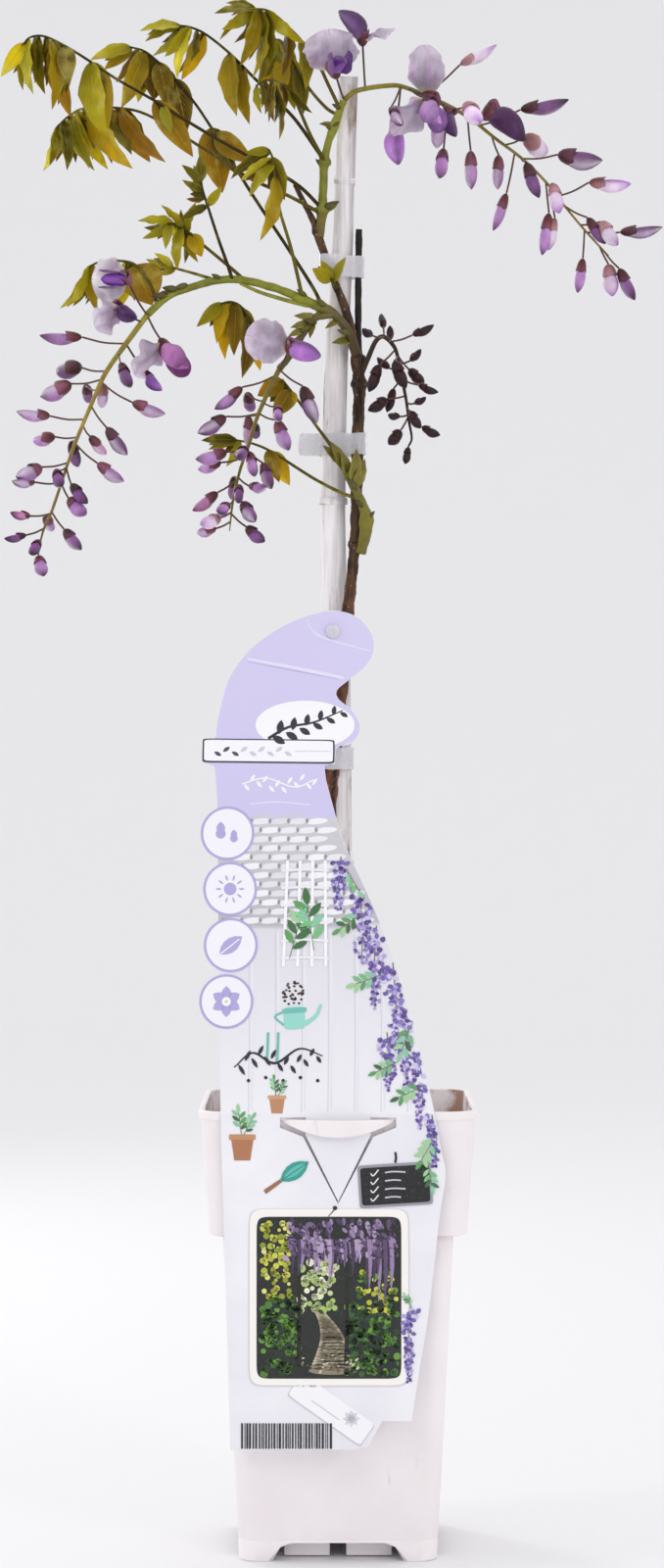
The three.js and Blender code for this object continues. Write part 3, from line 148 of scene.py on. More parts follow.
def all_round(count):
    """count even angles of a full turn."""
    return np.linspace(0, 2 * np.pi, count, endpoint=False)


def turned_flat(points, angle):
    """Flat points turned anticlockwise about 0, 0: x cos - y sin, x sin + y cos."""
    c, s = math.cos(angle), math.sin(angle)
    return points @ np.array([[c, s], [-s, c]])


def squared_ring(count, power):
    """Flat points of a ring pressed out towards a square: |cos|^power and |sin|^power with their signs."""
    a = all_round(count)
    ring = np.stack([np.cos(a), np.sin(a)], -1)
    return np.abs(ring) ** power * np.sign(ring)


def smooth(stations, count):
    """count points of a smooth line through the stations (Catmull-Rom), with any columns they have."""
    s = np.asarray(stations, float)
    p = np.vstack([2 * s[0] - s[1], s, 2 * s[-1] - s[-2]])
    t = np.linspace(0, len(s) - 1, count)
    k = np.minimum(t.astype(int), len(s) - 2)
    f = (t - k)[:, None]
    a, b, c, d = p[k], p[k + 1], p[k + 2], p[k + 3]
    bend = (2 * a - 5 * b + 4 * c - d) * f**2 + (3 * b - a - 3 * c + d) * f**3
    return 0.5 * (2 * b + (c - a) * f + bend)


def ripple(points, size, seed):
    """Smooth pseudo-random numbers from -1 to 1 over space: the mean of four tilted sine waves."""
    total = np.zeros(points.shape[:-1])
    for k in range(4):
        way = np.array([draw(seed + 7 * k), draw(seed + 7 * k + 1), draw(seed + 7 * k + 2)]) * 2 - 1
        total += np.sin(points @ (unit(way) * 2 * math.pi / size * (1 + 0.3 * k)) + 9 * draw(seed + 90 + k))
    return total / 4


print("a quarter turn takes 1, 0 to", turned_flat(np.array([1.0, 0.0]), math.pi / 2).round(3))

# %% Grids to meshes
# Corners nearer to each other than this, in metres, become one.
WELD_WITHIN = 1e-7


def surface(points, tint, across=None, along=None, closed=True):
    """A grid of points (rows, columns, 3) in mm with a tint; across and along are its UVs, 0 to 1."""
    rows, columns = points.shape[:2]
    if across is None:
        across = 0.5 + 0.5 * np.cos(np.linspace(0, 2 * np.pi, columns, endpoint=not closed))
    if along is None:
        along = np.linspace(0, 1, rows)
    uv = np.zeros((rows, columns, 2))
    uv[..., 0] = across
    uv[..., 1] = np.asarray(along)[:, None]
    tints = np.ones((rows, columns, 4))
    tints[..., :3] = tint
    return {"points": points, "uv": uv, "tint": tints, "closed": closed}


def grid_quads(rows, columns, closed, start=0):
    """The corner numbers of a grid's quads, from start on. A closed grid's last column joins its first."""
    index = start + np.arange(rows * columns).reshape(rows, columns)
    if closed:
        index = np.hstack([index, index[:, :1]])
    return np.stack([index[:-1, :-1], index[:-1, 1:], index[1:, 1:], index[1:, :-1]], -1).reshape(-1, 4)


def make_piece(name, surfaces, material, nodes=(), sharp=None):
    """One welded mesh from surfaces, that rides on the part and stands for the nodes it replaces."""
    corners = np.vstack([s["points"].reshape(-1, 3) for s in surfaces])
    uvs = np.vstack([s["uv"].reshape(-1, 2) for s in surfaces])
    tints = np.vstack([s["tint"].reshape(-1, 4) for s in surfaces])
    quads, start = [], 0
    for s in surfaces:
        rows, columns = s["points"].shape[:2]
        quads.append(grid_quads(rows, columns, s["closed"], start))
        start += rows * columns
    quads = np.vstack(quads)
    mesh = bpy.data.meshes.new(name)
    mesh.vertices.add(len(corners))
    mesh.vertices.foreach_set("co", in_metres(corners).ravel())
    mesh.loops.add(quads.size)
    mesh.loops.foreach_set("vertex_index", quads.ravel())
    mesh.polygons.add(len(quads))
    mesh.polygons.foreach_set("loop_start", np.arange(0, quads.size, 4))
    mesh.polygons.foreach_set("loop_total", np.full(len(quads), 4))
    mesh.update(calc_edges=True)
    mesh.uv_layers.new(name="UVMap").uv.foreach_set("vector", uvs[quads.ravel()].ravel())
    mesh.color_attributes.new("tint", "FLOAT_COLOR", "POINT").data.foreach_set("color", tints.ravel())
    welded = bmesh.new()
    welded.from_mesh(mesh)
    bmesh.ops.remove_doubles(welded, verts=welded.verts, dist=WELD_WITHIN)
    welded.to_mesh(mesh)
    welded.free()
    mesh.shade_smooth()
    if sharp:
        mesh.set_sharp_from_angle(angle=math.radians(sharp))
    mesh.materials.append(material)
    piece = add_object(name, mesh)
    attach(piece, "root")
    if nodes:
        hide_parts(*nodes)
    print(name, len(mesh.polygons), "faces")
    return piece


print("a closed grid of 3 by 4 points has", len(grid_quads(3, 4, True)), "quads")


# %% Rings and tubes
def rings(line, radii, sides, hint=DEPTH):
    """Sections about a line: centre + radius (side cos a + face sin a), side and face square to the line."""
    tangent = unit(np.gradient(line, axis=0))
    side = unit(np.cross(tangent, hint))
    face = np.cross(tangent, side)
    a = all_round(sides)
    radii = np.asarray(radii, float)
    if radii.ndim == 1:
        radii = radii[:, None]
    out = np.cos(a)[:, None] * side[:, None] + np.sin(a)[:, None] * face[:, None]
    return line[:, None] + radii[..., None] * out


def capped(ring_grid):
    """The same rings with both ends drawn together to a pole."""
    first = np.broadcast_to(ring_grid[:1].mean(1, keepdims=True), ring_grid[:1].shape)
    last = np.broadcast_to(ring_grid[-1:].mean(1, keepdims=True), ring_grid[-1:].shape)
    return np.concatenate([first, ring_grid, last])


def tube(line, radii, sides, tint, hint=DEPTH):
    """A closed tube along a laid-out line, brought to where it truly is."""
    return surface(in_place(capped(rings(line, radii, sides, hint))), tint)


def turned(foot, along, distances, radii, sides, deep=1.0, side=None):
    """Sections square to one straight way: foot + distance along + radius (cos a side + deep sin a face)."""
    if side is None:
        side = unit(np.cross(along, UP if abs(along[1]) > 0.97 else DEPTH))
    face = np.cross(along, side)
    a = all_round(sides)[:, None]
    distances, radii = np.asarray(distances, float), np.asarray(radii, float)
    if radii.ndim == 1:
        radii = radii[:, None]
    out = np.cos(a) * side + deep * np.sin(a) * face
    return foot + distances.reshape(len(radii), -1, 1) * along + radii[..., None] * out


print("6 rings of 8 points with their poles:", capped(np.zeros((6, 8, 3))).shape)


# %% Colours
def linear(*screen):
    """A screen colour, 0 to 255, as the linear numbers that shaders use: the share of 255 to the 2.2."""
    return tuple((c / 255) ** 2.2 for c in screen)


def towards(colour, other, share):
    """A screen colour taken a share of the way to another."""
    return tuple(mix(c, o, share) for c, o in zip(colour, other))


def paler(colour, share, white=250):
    """A screen colour taken a share of the way to a near white."""
    return towards(colour, (white,) * 3, share)


def dimmed(colour, share):
    """A screen colour with each of its numbers times a share."""
    return tuple(c * share for c in colour)


def shaded(stops, rows):
    """A tint for each row, run through evenly spaced colours."""
    colours = np.array([linear(*c) for c in stops])
    at = np.linspace(0, len(stops) - 1, rows)
    return np.stack([np.interp(at, np.arange(len(stops)), colours[:, k]) for k in range(3)], -1)[:, None]


print("screen 128 is", round(linear(128)[0], 3), "as a linear number")

# %% [markdown]
# ## Finishes
#
# Each finish is one Principled shader. Patterns read Object coordinates, which are metres here because every
# object sits at the origin, or the piece's own UVs where they follow the surface. Numbers that are the same
# all over stay on the shader's sockets. Colours are written as screen values from 0 to 255 and made linear.

# %% Wiring helpers
def finish(name, colour, roughness, **sockets):
    """A material with a Principled shader and its node tree."""
    material = bpy.data.materials.new(name)
    material.use_nodes = True
    shader = material.node_tree.nodes["Principled BSDF"]
    shader.inputs["Base Color"].default_value = (*linear(*colour), 1)
    shader.inputs["Roughness"].default_value = roughness
    for socket, value in sockets.items():
        shader.inputs[socket.replace("_", " ")].default_value = value
    material.diffuse_color = (*linear(*colour), 1)
    return material, material.node_tree, shader


def node(tree, kind, inputs=None, **settings):
    """A new node with its settings, and each input set to a value or joined to another node's output."""
    made = tree.nodes.new("ShaderNode" + kind)
    for key, value in settings.items():
        setattr(made, key, value)
    for key, value in (inputs or {}).items():
        if isinstance(value, bpy.types.NodeSocket):
            tree.links.new(value, made.inputs[key])
        else:
            made.inputs[key].default_value = value
    return made


def blended(tree, share, a, b, how="MIX"):
    """a and b mixed by share, each a colour or an output."""
    colours = {6: a if isinstance(a, bpy.types.NodeSocket) else (*a, 1)}
    colours[7] = b if isinstance(b, bpy.types.NodeSocket) else (*b, 1)
    return node(tree, "Mix", {0: share, **colours}, data_type="RGBA", blend_type=how).outputs[2]


def noise(tree, scale, stretch=(1, 1, 1), detail=4.0):
    """Noise over the object's metres, drawn out by stretch."""
    place = node(tree, "TexCoord").outputs["Object"]
    drawn = node(tree, "Mapping", {"Vector": place, "Scale": stretch}).outputs[0]
    return node(tree, "TexNoise", {"Vector": drawn, "Scale": scale, "Detail": detail}).outputs[0]


def span(tree, value, low, high, to_low=0.0, to_high=1.0):
    """value taken from low..high to to_low..to_high, held at the ends."""
    return node(tree, "MapRange", {0: value, 1: low, 2: high, 3: to_low, 4: to_high}).outputs[0]


def worked_out(tree, operation, *values):
    """One step of arithmetic on values or outputs."""
    return node(tree, "Math", dict(enumerate(values)), operation=operation).outputs[0]


def two_tone(tree, value, low, high, first, second):
    """The first screen colour where value is low or less, the second where it is high or more."""
    return blended(tree, span(tree, value, low, high), linear(*first), linear(*second))


def bump(tree, shader, height, depth_mm, strength=1.0):
    """Relief too fine for the mesh: a pattern of this height, as deep as depth_mm, turns the normals."""
    made = node(tree, "Bump", {"Height": height, "Distance": depth_mm * MM, "Strength": strength})
    tree.links.new(made.outputs[0], shader.inputs["Normal"])


def colour_from(tree, shader, output):
    """The shader's colour taken from another node."""
    tree.links.new(output, shader.inputs["Base Color"])


def rough_from(tree, shader, value, low, high):
    """Roughness from low to high as a pattern's value goes from 0.3 to 0.7."""
    tree.links.new(span(tree, value, 0.3, 0.7, low, high), shader.inputs["Roughness"])


def tint_of(tree):
    """The tint that `surface` kept with each corner."""
    return node(tree, "Attribute", attribute_name="tint").outputs[0]


def see_through(tree, shader, share, colour):
    """Lets share of the light through a thin leaf or petal: a Translucent shader mixed in."""
    through = node(tree, "BsdfTranslucent", {"Color": colour}).outputs[0]
    both = node(tree, "MixShader", {0: share, 1: shader.outputs[0], 2: through}).outputs[0]
    tree.links.new(both, tree.nodes["Material Output"].inputs["Surface"])


print("a finish starts with", len(finish("trial", (128, 128, 128), 0.5)[1].nodes), "nodes")
bpy.data.materials.remove(bpy.data.materials["trial"])

# %% [markdown]
# ## The pot
#
# A blow-moulded square pot: a slightly tapered body, a wide collar above a step, a thin lip, and feet at the
# corners with a notch between them. It is one closed surface: a rounded square carried up the outside, over
# the lip, down the inside and across the floor, with a list of heights and half-widths as its profile. Edges
# get their roundness from close pairs of levels. Soil has marked the inner walls in places, and a painted
# shadow lies under the collar; both are a tint.

# %% Pot finish
pot_plastic, tree, shader = finish("satin_pot_plastic", (240, 232, 233), 0.42)
mottle = noise(tree, 35)
cloudy = two_tone(tree, mottle, 0.35, 0.7, (249, 242, 244), (243, 235, 237))
scuffs = span(tree, noise(tree, 160, (1, 1, 0.25), 8.0), 0.66, 0.76, 0.0, 0.7)
marked = blended(tree, scuffs, cloudy, linear(216, 206, 204))
# Where the tint shows, in patches: soil on the inner walls and painted shadow under the collar.
soil_and_shadow_patches = span(tree, noise(tree, 60, detail=7.0), 0.47, 0.6)
colour_from(tree, shader, blended(tree, soil_and_shadow_patches, marked, tint_of(tree), "MULTIPLY"))
rough_from(tree, shader, mottle, 0.36, 0.5)
bump(tree, shader, noise(tree, 700, detail=2.0), 0.05, 0.5)
print(pot_plastic.name, "has", len(tree.nodes), "nodes")

# %% Pot surface
def rounded_square(half, radius):
    """Points round a square with arcs at its corners, anticlockwise from the +x side, as (n, 2)."""
    arc = np.linspace(0, np.pi / 2, 9)
    straight = np.linspace(-1, 1, 15)[1:-1] * (half - radius)
    edge = np.stack([np.full_like(straight, half), straight], -1)
    bend = np.stack([half - radius + radius * np.cos(arc), half - radius + radius * np.sin(arc)], -1)
    side = np.vstack([edge, bend])
    return np.vstack([turned_flat(side, quarter * math.pi / 2) for quarter in range(4)])


def pot_levels():
    """Heights and half-widths from the middle of the underside, out, up, over the lip, and in again."""
    floor, step, height, wall = POT["floor_bottom"], POT["collar_bottom"], POT["height"], POT["wall"]
    base, body, collar, rim = POT["base_half"], POT["body_half"], POT["collar_half"], POT["rim_half"]
    lip = height - POT["lip_tall"]
    at_lip = mix(collar, rim, (lip - step) / (height - step))
    top = rim + POT["lip_out"]
    inner = body - wall
    return [
        (floor, 0.01), (floor, base - 4), (floor - 1, base - 3), (0.6, base - 2.9), (0, base - 2.3),
        (0, base - 0.6), (0.8, base), (9, base + 0.3), (10.5, base - 0.1), (12, base + 0.4),
        (60, mix(base, body, 60 / step)), (110, mix(base, body, 110 / step)), (step - 1.6, body - 0.1),
        (step, body + 1.2), (step, collar - 1.2), (step + 0.5, collar - 0.2), (step + 1.6, collar + 0.1),
        (lip - 1.2, at_lip - 0.1), (lip - 0.2, at_lip + 0.3), (lip, at_lip + POT["lip_out"]),
        (lip + 1, top - 0.1), (height - 0.6, top), (height, top - 0.6), (height, rim - wall + 0.5),
        (height - 0.6, rim - wall), (step + 3, collar - wall), (step + 1.8, inner + 2),
        (step + 0.5, inner), (POT["floor_top"], base - wall + 0.6), (POT["floor_top"], 0.01),
    ]


NOTCH_EDGE = 0.8
NOTCH_ROOF = POT["floor_bottom"] - 0.5


def pot_surface():
    """The profile's rounded squares, with the foot levels lifted to the notch's roof between the corners."""
    grid = []
    for z, half in pot_levels():
        ring = rounded_square(half, POT["corner"] * half / POT["rim_half"])
        nearer = np.abs(ring).min(-1)
        in_notch = np.clip((POT["notch_half"] + NOTCH_EDGE - nearer) / (2 * NOTCH_EDGE), 0, 1)
        height = np.where(z < NOTCH_ROOF, mix(z, NOTCH_ROOF, in_notch), z)
        grid.append(np.column_stack([ring, height]))
    return np.stack(grid)


pot_grid = pot_surface()
# Soil has marked the inner walls, which are the last levels, and a painted shadow lies under the collar.
INNER_LEVELS = 6
pot_soil_and_shadow_tint = np.ones((len(pot_grid), 1, 3))
pot_soil_and_shadow_tint[-INNER_LEVELS:] = linear(176, 142, 120)
pot_soil_and_shadow_tint[[z == POT["collar_bottom"] for z, half in pot_levels()]] = linear(200, 180, 170)
make_piece("pot_shell", [surface(pot_grid, pot_soil_and_shadow_tint)], pot_plastic, ["pot"], sharp=35)


# %% Card strap and inner feet
STRAP = {"half": 27, "tall": 8.5, "end_tall": 1.5, "bow": 8, "thick": 1.6, "top": 221.5, "inset": 1}
RIB = {"near": 4, "far": 27, "from_edge": 13, "half": 1.2, "foot": 0.8, "top": 11}


def strap_surface():
    """A bar across the front: at each step a rounded oblong section, bowed out by a parabola."""
    t = np.linspace(-1, 1, 33)
    arch = 1 - t**2
    y = STRAP["inset"] - POT["rim_half"] - STRAP["bow"] * arch - STRAP["thick"] / 2
    tall = mix(STRAP["end_tall"], STRAP["tall"], arch)[:, None]
    section = squared_ring(20, 0.4)
    grid = np.zeros((len(t), len(section), 3))
    grid[..., 0] = t[:, None] * STRAP["half"]
    grid[..., 1] = y[:, None] - section[:, 0] * STRAP["thick"] / 2
    grid[..., 2] = STRAP["top"] - tall / 2 + section[:, 1] * tall / 2
    return capped(grid)


def rib_surface(low_corner, high_corner):
    """A moulded rib: an upright oblong with rounded corners between two opposite corners."""
    centre = (np.array(low_corner) + high_corner) / 2
    half = (np.array(high_corner) - low_corner) / 2
    ring = squared_ring(16, 0.35)
    grid = np.zeros((2, len(ring), 3))
    grid[..., :2] = centre[:2] + ring * half[:2]
    grid[..., 2] = centre[2] + np.array([[-1], [1]]) * half[2]
    return capped(grid)


ribs = []
for s in (-1, 1):
    for t in (-1, 1):
        x0, x1 = sorted((s * RIB["near"], s * RIB["far"]))
        middle = t * (POT["base_half"] - RIB["from_edge"])
        y0, y1 = middle - RIB["half"], middle + RIB["half"]
        ribs.append(surface(rib_surface((x0, y0, RIB["foot"]), (x1, y1, RIB["top"])), 1.0))
        ribs.append(surface(rib_surface((y0, x0, RIB["foot"]), (y1, x1, RIB["top"])), 1.0))
make_piece("pot_strap_and_ribs", [surface(strap_surface(), 1.0), *ribs], pot_plastic, sharp=40)

# %% [markdown]
# ## The soil
#
# Potting compost: an uneven, crumbly top with bits of bark. The ground is a height field over the pot's
# mouth, and the bark bits are small flattened pebbles scattered by a fixed pseudo-random rule.

# %% Soil
SOIL = {
    "top": 204,
    "mound": 3,
    "mound_half": 30,
    "half": 63.6,
    "wall_half": 64.3,
    "corner": 12.3,
    "skirt": 14,
}
BARK_BITS = 260
BARK_SPREAD = 60
soil_finish, tree, shader = finish("damp_compost", (52, 38, 30), 0.95)
crumbs = noise(tree, 420, detail=8.0)
browns = two_tone(tree, crumbs, 0.35, 0.65, (30, 21, 16), (92, 66, 48))
grit = span(tree, noise(tree, 900), 0.7, 0.76)
colour_from(tree, shader, blended(tree, grit, browns, linear(176, 150, 118)))
bump(tree, shader, crumbs, 1.2)


def ground_height(x, y):
    """A mound round the stem, which falls off as a bell curve of the distance, with waves and crumbs."""
    flat = np.stack([x, y, 0 * x], -1)
    mound = SOIL["mound"] * np.exp(-(x**2 + y**2) / SOIL["mound_half"] ** 2)
    waves = 1.6 * ripple(flat, 34, 3) + 0.7 * ripple(flat, 9, 5) + 0.4 * ripple(flat, 4, 8)
    return SOIL["top"] + mound + waves


def ground_surface():
    """Rounded squares from the wall to the middle, at the ground's height, with a skirt down the wall."""
    halves = [SOIL["wall_half"], SOIL["wall_half"], *np.linspace(SOIL["half"], 0.01, 46)]
    grid = []
    for half in halves:
        ring = rounded_square(half, SOIL["corner"] * half / POT["rim_half"])
        grid.append(np.column_stack([ring, ground_height(ring[:, 0], ring[:, 1])]))
    grid[0][:, 2] -= SOIL["skirt"]
    return np.stack(grid)


def bark_bit(k):
    """A flattened, irregular pebble of bark lying on the ground."""
    spot = (np.array([draw(k), draw(k + 0.5)]) * 2 - 1) * BARK_SPREAD
    size = mix(1.2, 3.6, draw(k + 0.25) ** 2)
    theta = np.linspace(0.02, np.pi - 0.02, 6)[:, None]
    phi = all_round(9) + 6 * draw(k + 0.7)
    wobble = 1 + 0.35 * np.sin(2 * phi + 9 * draw(k + 0.9)) * np.sin(theta)
    sides = np.sin(theta) * np.cos(phi), np.sin(theta) * np.sin(phi)
    ball = np.stack([*sides, -0.5 * np.cos(theta) + 0 * phi], -1)
    middle = np.array([*spot, ground_height(*spot) + 0.3 * size])
    return middle + ball * size * wobble[..., None]


bits = [surface(bark_bit(11 * k + 3), 1.0) for k in range(BARK_BITS)]
make_piece("soil_ground", [surface(ground_surface(), 1.0)], soil_finish, ["soil"])
bark_bits, tree, shader = finish("bark_bits", (84, 58, 40), 0.9)
colour_from(tree, shader, blended(tree, noise(tree, 120), linear(48, 33, 25), linear(128, 94, 66)))
bump(tree, shader, noise(tree, 900), 0.3)
make_piece("soil_bark_bits", bits, bark_bits)

# %% [markdown]
# ## Cane, trunk and shoots
#
# Every stem is a tube through listed stations of x, y, z and radius. The cane has raised node rings and
# an open cut end, the trunk gets knobbly bark from `ripple`, and the green shoots swell where leaves join.

# %% Stem stations
STEMS = {
    "bamboo_cane": [
        [1, 2, 45, 7], [1, 2, 200, 7], [0.5, 2, 341, 6.6], [0.5, 2, 344, 7.8], [0.5, 2, 347, 7.6],
        [0.4, 2, 350, 6.8], [-0.5, 2, 436, 7], [-2, 2, 486, 6.7], [-2.5, 2, 526, 6.3], [-2.5, 2, 529, 7.5],
        [-2.5, 2, 532, 7.3], [-2.4, 2, 535, 6.4], [-1.5, 2, 586, 6.2], [2, 2, 656, 5.5], [3.4, 2, 692, 5],
        [3.5, 2, 694, 5.7], [3.7, 2, 697, 5.1], [5.5, 2, 747, 4.8],
    ],
    "trunk": [
        [-15, -5, 120, 5.4], [-14, -6, 215, 5.2], [-9, -9, 300, 4.6], [-4.5, -12, 380, 4.3],
        [1, -13, 436, 4.1], [6, -10, 481, 3], [8.3, -6.5, 503, 2.9], [9, -6, 508, 4], [9.2, -6, 514, 3.1],
        [10, -5, 560, 3.1], [10.8, -4.6, 585, 3.1], [10.9, -4.6, 589.5, 4.3], [10.4, -4.4, 595, 3.2],
        [10.2, -4.4, 604, 3.8], [10.3, -4, 609, 1.9], [10.4, -2, 640, 1.7], [10.8, 0, 669, 1.7],
    ],
    "side_stem": [
        [10.3, -4, 601, 2.6], [6.5, -6.5, 619, 2.3], [2.5, -8, 632, 2.2], [-2, -8.5, 643, 2],
        [-7, -8.5, 657, 2], [-9.8, -8.5, 665, 2.2], [-10.6, -8.4, 668, 2.8], [-12, -8.3, 672, 1.8],
        [-16.5, -8, 681, 1.5], [-22, -7.5, 692, 1.2],
    ],
    "shoot_upper": [
        [-9.5, -8.6, 665, 2.4], [-8.4, -8.6, 675, 2.6], [-8, -8.7, 679, 3.8], [-7.8, -8.7, 683, 2.4],
        [-7.2, -8.8, 699, 2.3], [-6.9, -8.8, 703, 3.6], [-6.4, -8.8, 707, 2.2], [-4.5, -8.8, 714.5, 2],
        [-2, -8.8, 721, 2.5], [0.5, -8.7, 728.5, 1.9], [2.9, -8.6, 734.6, 1.9],
    ],
    "shoot_left": [
        [9.5, -7, 605, 2.6], [4.5, -12.5, 618, 2.5], [-2.5, -14.5, 626, 2.4], [-8, -15, 628.8, 3.2],
        [-12, -15.2, 630.6, 2.5], [-18.5, -15.6, 633.2, 2.9], [-23, -15.7, 635.5, 2.2],
        [-32, -16, 639, 2.1], [-48, -17, 643, 2], [-61.5, -18.5, 643, 2], [-76, -20, 639, 1.9],
        [-87, -22.5, 634.5, 1.9], [-97.1, -24.9, 625.6, 1.9],
    ],
    "spur_middle": [
        [-2.5, -15, 625.5, 1.8], [-11.5, -18.5, 623.5, 1.7], [-17.3, -22, 616, 1.6], [-23, -27.5, 606, 1.6],
        [-29.8, -32.8, 597.9, 1.7],
    ],
    "shoot_lower": [
        [11.5, -7, 504, 3], [13.5, -9, 512, 3.1], [14.6, -10.6, 520.5, 3.8], [13.5, -11.2, 526, 2.7],
        [11.5, -12, 531, 2.4], [7.5, -13, 539, 2.2], [3.5, -14, 546.5, 1.9], [0.5, -15, 553, 1.3],
    ],
}


def stem(name, rows, sides, knobs, size):
    """The tube of a stem as grown, its radius stirred by knobs times a ripple of the given size."""
    line = smooth(STEMS[name], rows)
    grid = rings(line[:, :3], line[:, 3], sides)
    seed = len(name)
    stirred = 1 + knobs * (ripple(grid, size, seed) + 0.5 * ripple(grid, size / 3, seed + 40))
    middle = line[:, None, :3]
    return in_place(middle + (grid - middle) * stirred[..., None])


print(len(STEMS), "stems are laid out")

# %% Cane
cane_finish, tree, shader = finish("worn_white_cane", (232, 227, 230), 0.55)
grain = noise(tree, 90, (6, 6, 0.35), 6.0)
coat = two_tone(tree, grain, 0.4, 0.62, (250, 246, 248), (226, 220, 222))
rubbed = span(tree, noise(tree, 55, (1, 1, 0.5), 7.0), 0.6, 0.68)
coat = blended(tree, rubbed, coat, linear(176, 160, 146))
scratch = span(tree, noise(tree, 210, (2, 2, 0.12), 8.0), 0.62, 0.7, 0.0, 0.8)
coat = blended(tree, scratch, coat, linear(112, 98, 92))
colour_from(tree, shader, blended(tree, 1.0, coat, tint_of(tree), "MULTIPLY"))
rough_from(tree, shader, grain, 0.45, 0.7)
bump(tree, shader, grain, 0.35)
CANE_SIDES = 32
BORE_SHARE = 0.62
BORE_ROWS = 8
cane = stem("bamboo_cane", 220, CANE_SIDES, 0.012, 30)
middle = cane.mean(1, keepdims=True)
bore = middle + (cane - middle) * BORE_SHARE
bottom = bore[-BORE_ROWS:][:1]
closing = bottom.mean(1, keepdims=True) + 0 * bottom
cane_wall = np.concatenate([capped(cane)[:-1], bore[-1:], bottom, closing])
# Painted shade lies along one side of the cane, broken into patches.
painted_side_shade = np.clip(-1.6 * np.cos(all_round(CANE_SIDES)) - 0.4, 0, 1) * (0.8 + 0.5 * ripple(cane_wall, 60, 3))
cane_painted_shade = 1 - 0.5 * np.clip(painted_side_shade, 0, 1)[..., None] * np.array([0.92, 0.97, 1.0])
make_piece("cane", [surface(cane_wall, cane_painted_shade)], cane_finish, ["bamboo_cane"], sharp=50)

# %% Trunk
bark, tree, shader = finish("reddish_bark", (104, 66, 46), 0.8)
fissures = noise(tree, 150, (2.2, 2.2, 0.5), 8.0)
base = two_tone(tree, fissures, 0.36, 0.64, (44, 24, 16), (140, 88, 60))
height = node(tree, "SeparateXYZ", {0: node(tree, "TexCoord").outputs["Object"]}).outputs[2]
young = two_tone(tree, fissures, 0.36, 0.64, (36, 24, 16), (104, 76, 50))
grown = blended(tree, span(tree, height, 0.44, 0.52), base, young)
where = node(tree, "TexCoord").outputs["Object"]
specks = node(tree, "TexVoronoi", {"Vector": where, "Scale": 330.0}).outputs[0]
grown = blended(tree, span(tree, specks, 0.2, 0.12), grown, linear(176, 132, 100))
colour_from(tree, shader, blended(tree, 1.0, grown, tint_of(tree), "MULTIPLY"))
bump(tree, shader, fissures, 1.3)
old_stem = capped(stem("trunk", 420, 22, 0.13, 14))
# Above its side stem the trunk is a dead, dark twig.
TWIG_FROM = 606
old_tint = 0.7 - 0.6 * np.clip((old_stem[..., 2:] - TWIG_FROM) / 5, 0, 1)
trunk = [surface(old_stem, old_tint), surface(capped(stem("side_stem", 90, 16, 0.1, 7)), 0.9)]
make_piece("trunk_bark", trunk, bark, ["trunk"], sharp=60)

# %% [markdown]
# ## Blades
#
# Leaflets, scales, banners and wings are all thin blades. A blade runs from its foot along a way, and its
# width follows an outline. Its section is a flattened ring, folded up at the middle like a shallow V and
# ruffled towards the edges, so the blade is a closed shell about 0.4 mm thick.

# %% Blades
def leaflet_outline(t):
    """Egg-shaped with a pointed tip: t^0.62 (1 - t), divided by its largest value."""
    return t**0.62 * (1 - t) / 0.341


def rounded(t, widest, power):
    """An oval outline: sqrt(1 - |d|^power), where d is the way from the widest place to either end."""
    away = np.abs(t - widest) / np.where(t < widest, widest, 1 - widest)
    return np.sqrt(np.clip(1 - away**power, 0, 1))


def banner_outline(t):
    """Broad and round, narrowed to a claw at the foot."""
    return rounded(t, 0.5, 2.2) * np.clip(0.5 + 2.0 * t, 0, 1)


def wing_outline(t):
    """Narrow at the foot and round at the end."""
    return rounded(t, 0.58, 2.3) * np.clip(0.4 + 1.4 * t, 0, 1)


def blade_frame(along, hint, outward, twist=0.0):
    """Two directions square to along: across, turned by twist about along, and up, out of the upper face."""
    across = unit(hint - along * (along @ hint))
    across = across * math.cos(twist) + np.cross(along, across) * math.sin(twist)
    up = np.cross(across, along)
    return (across, up) if up @ outward > 0 else (-across, -up)


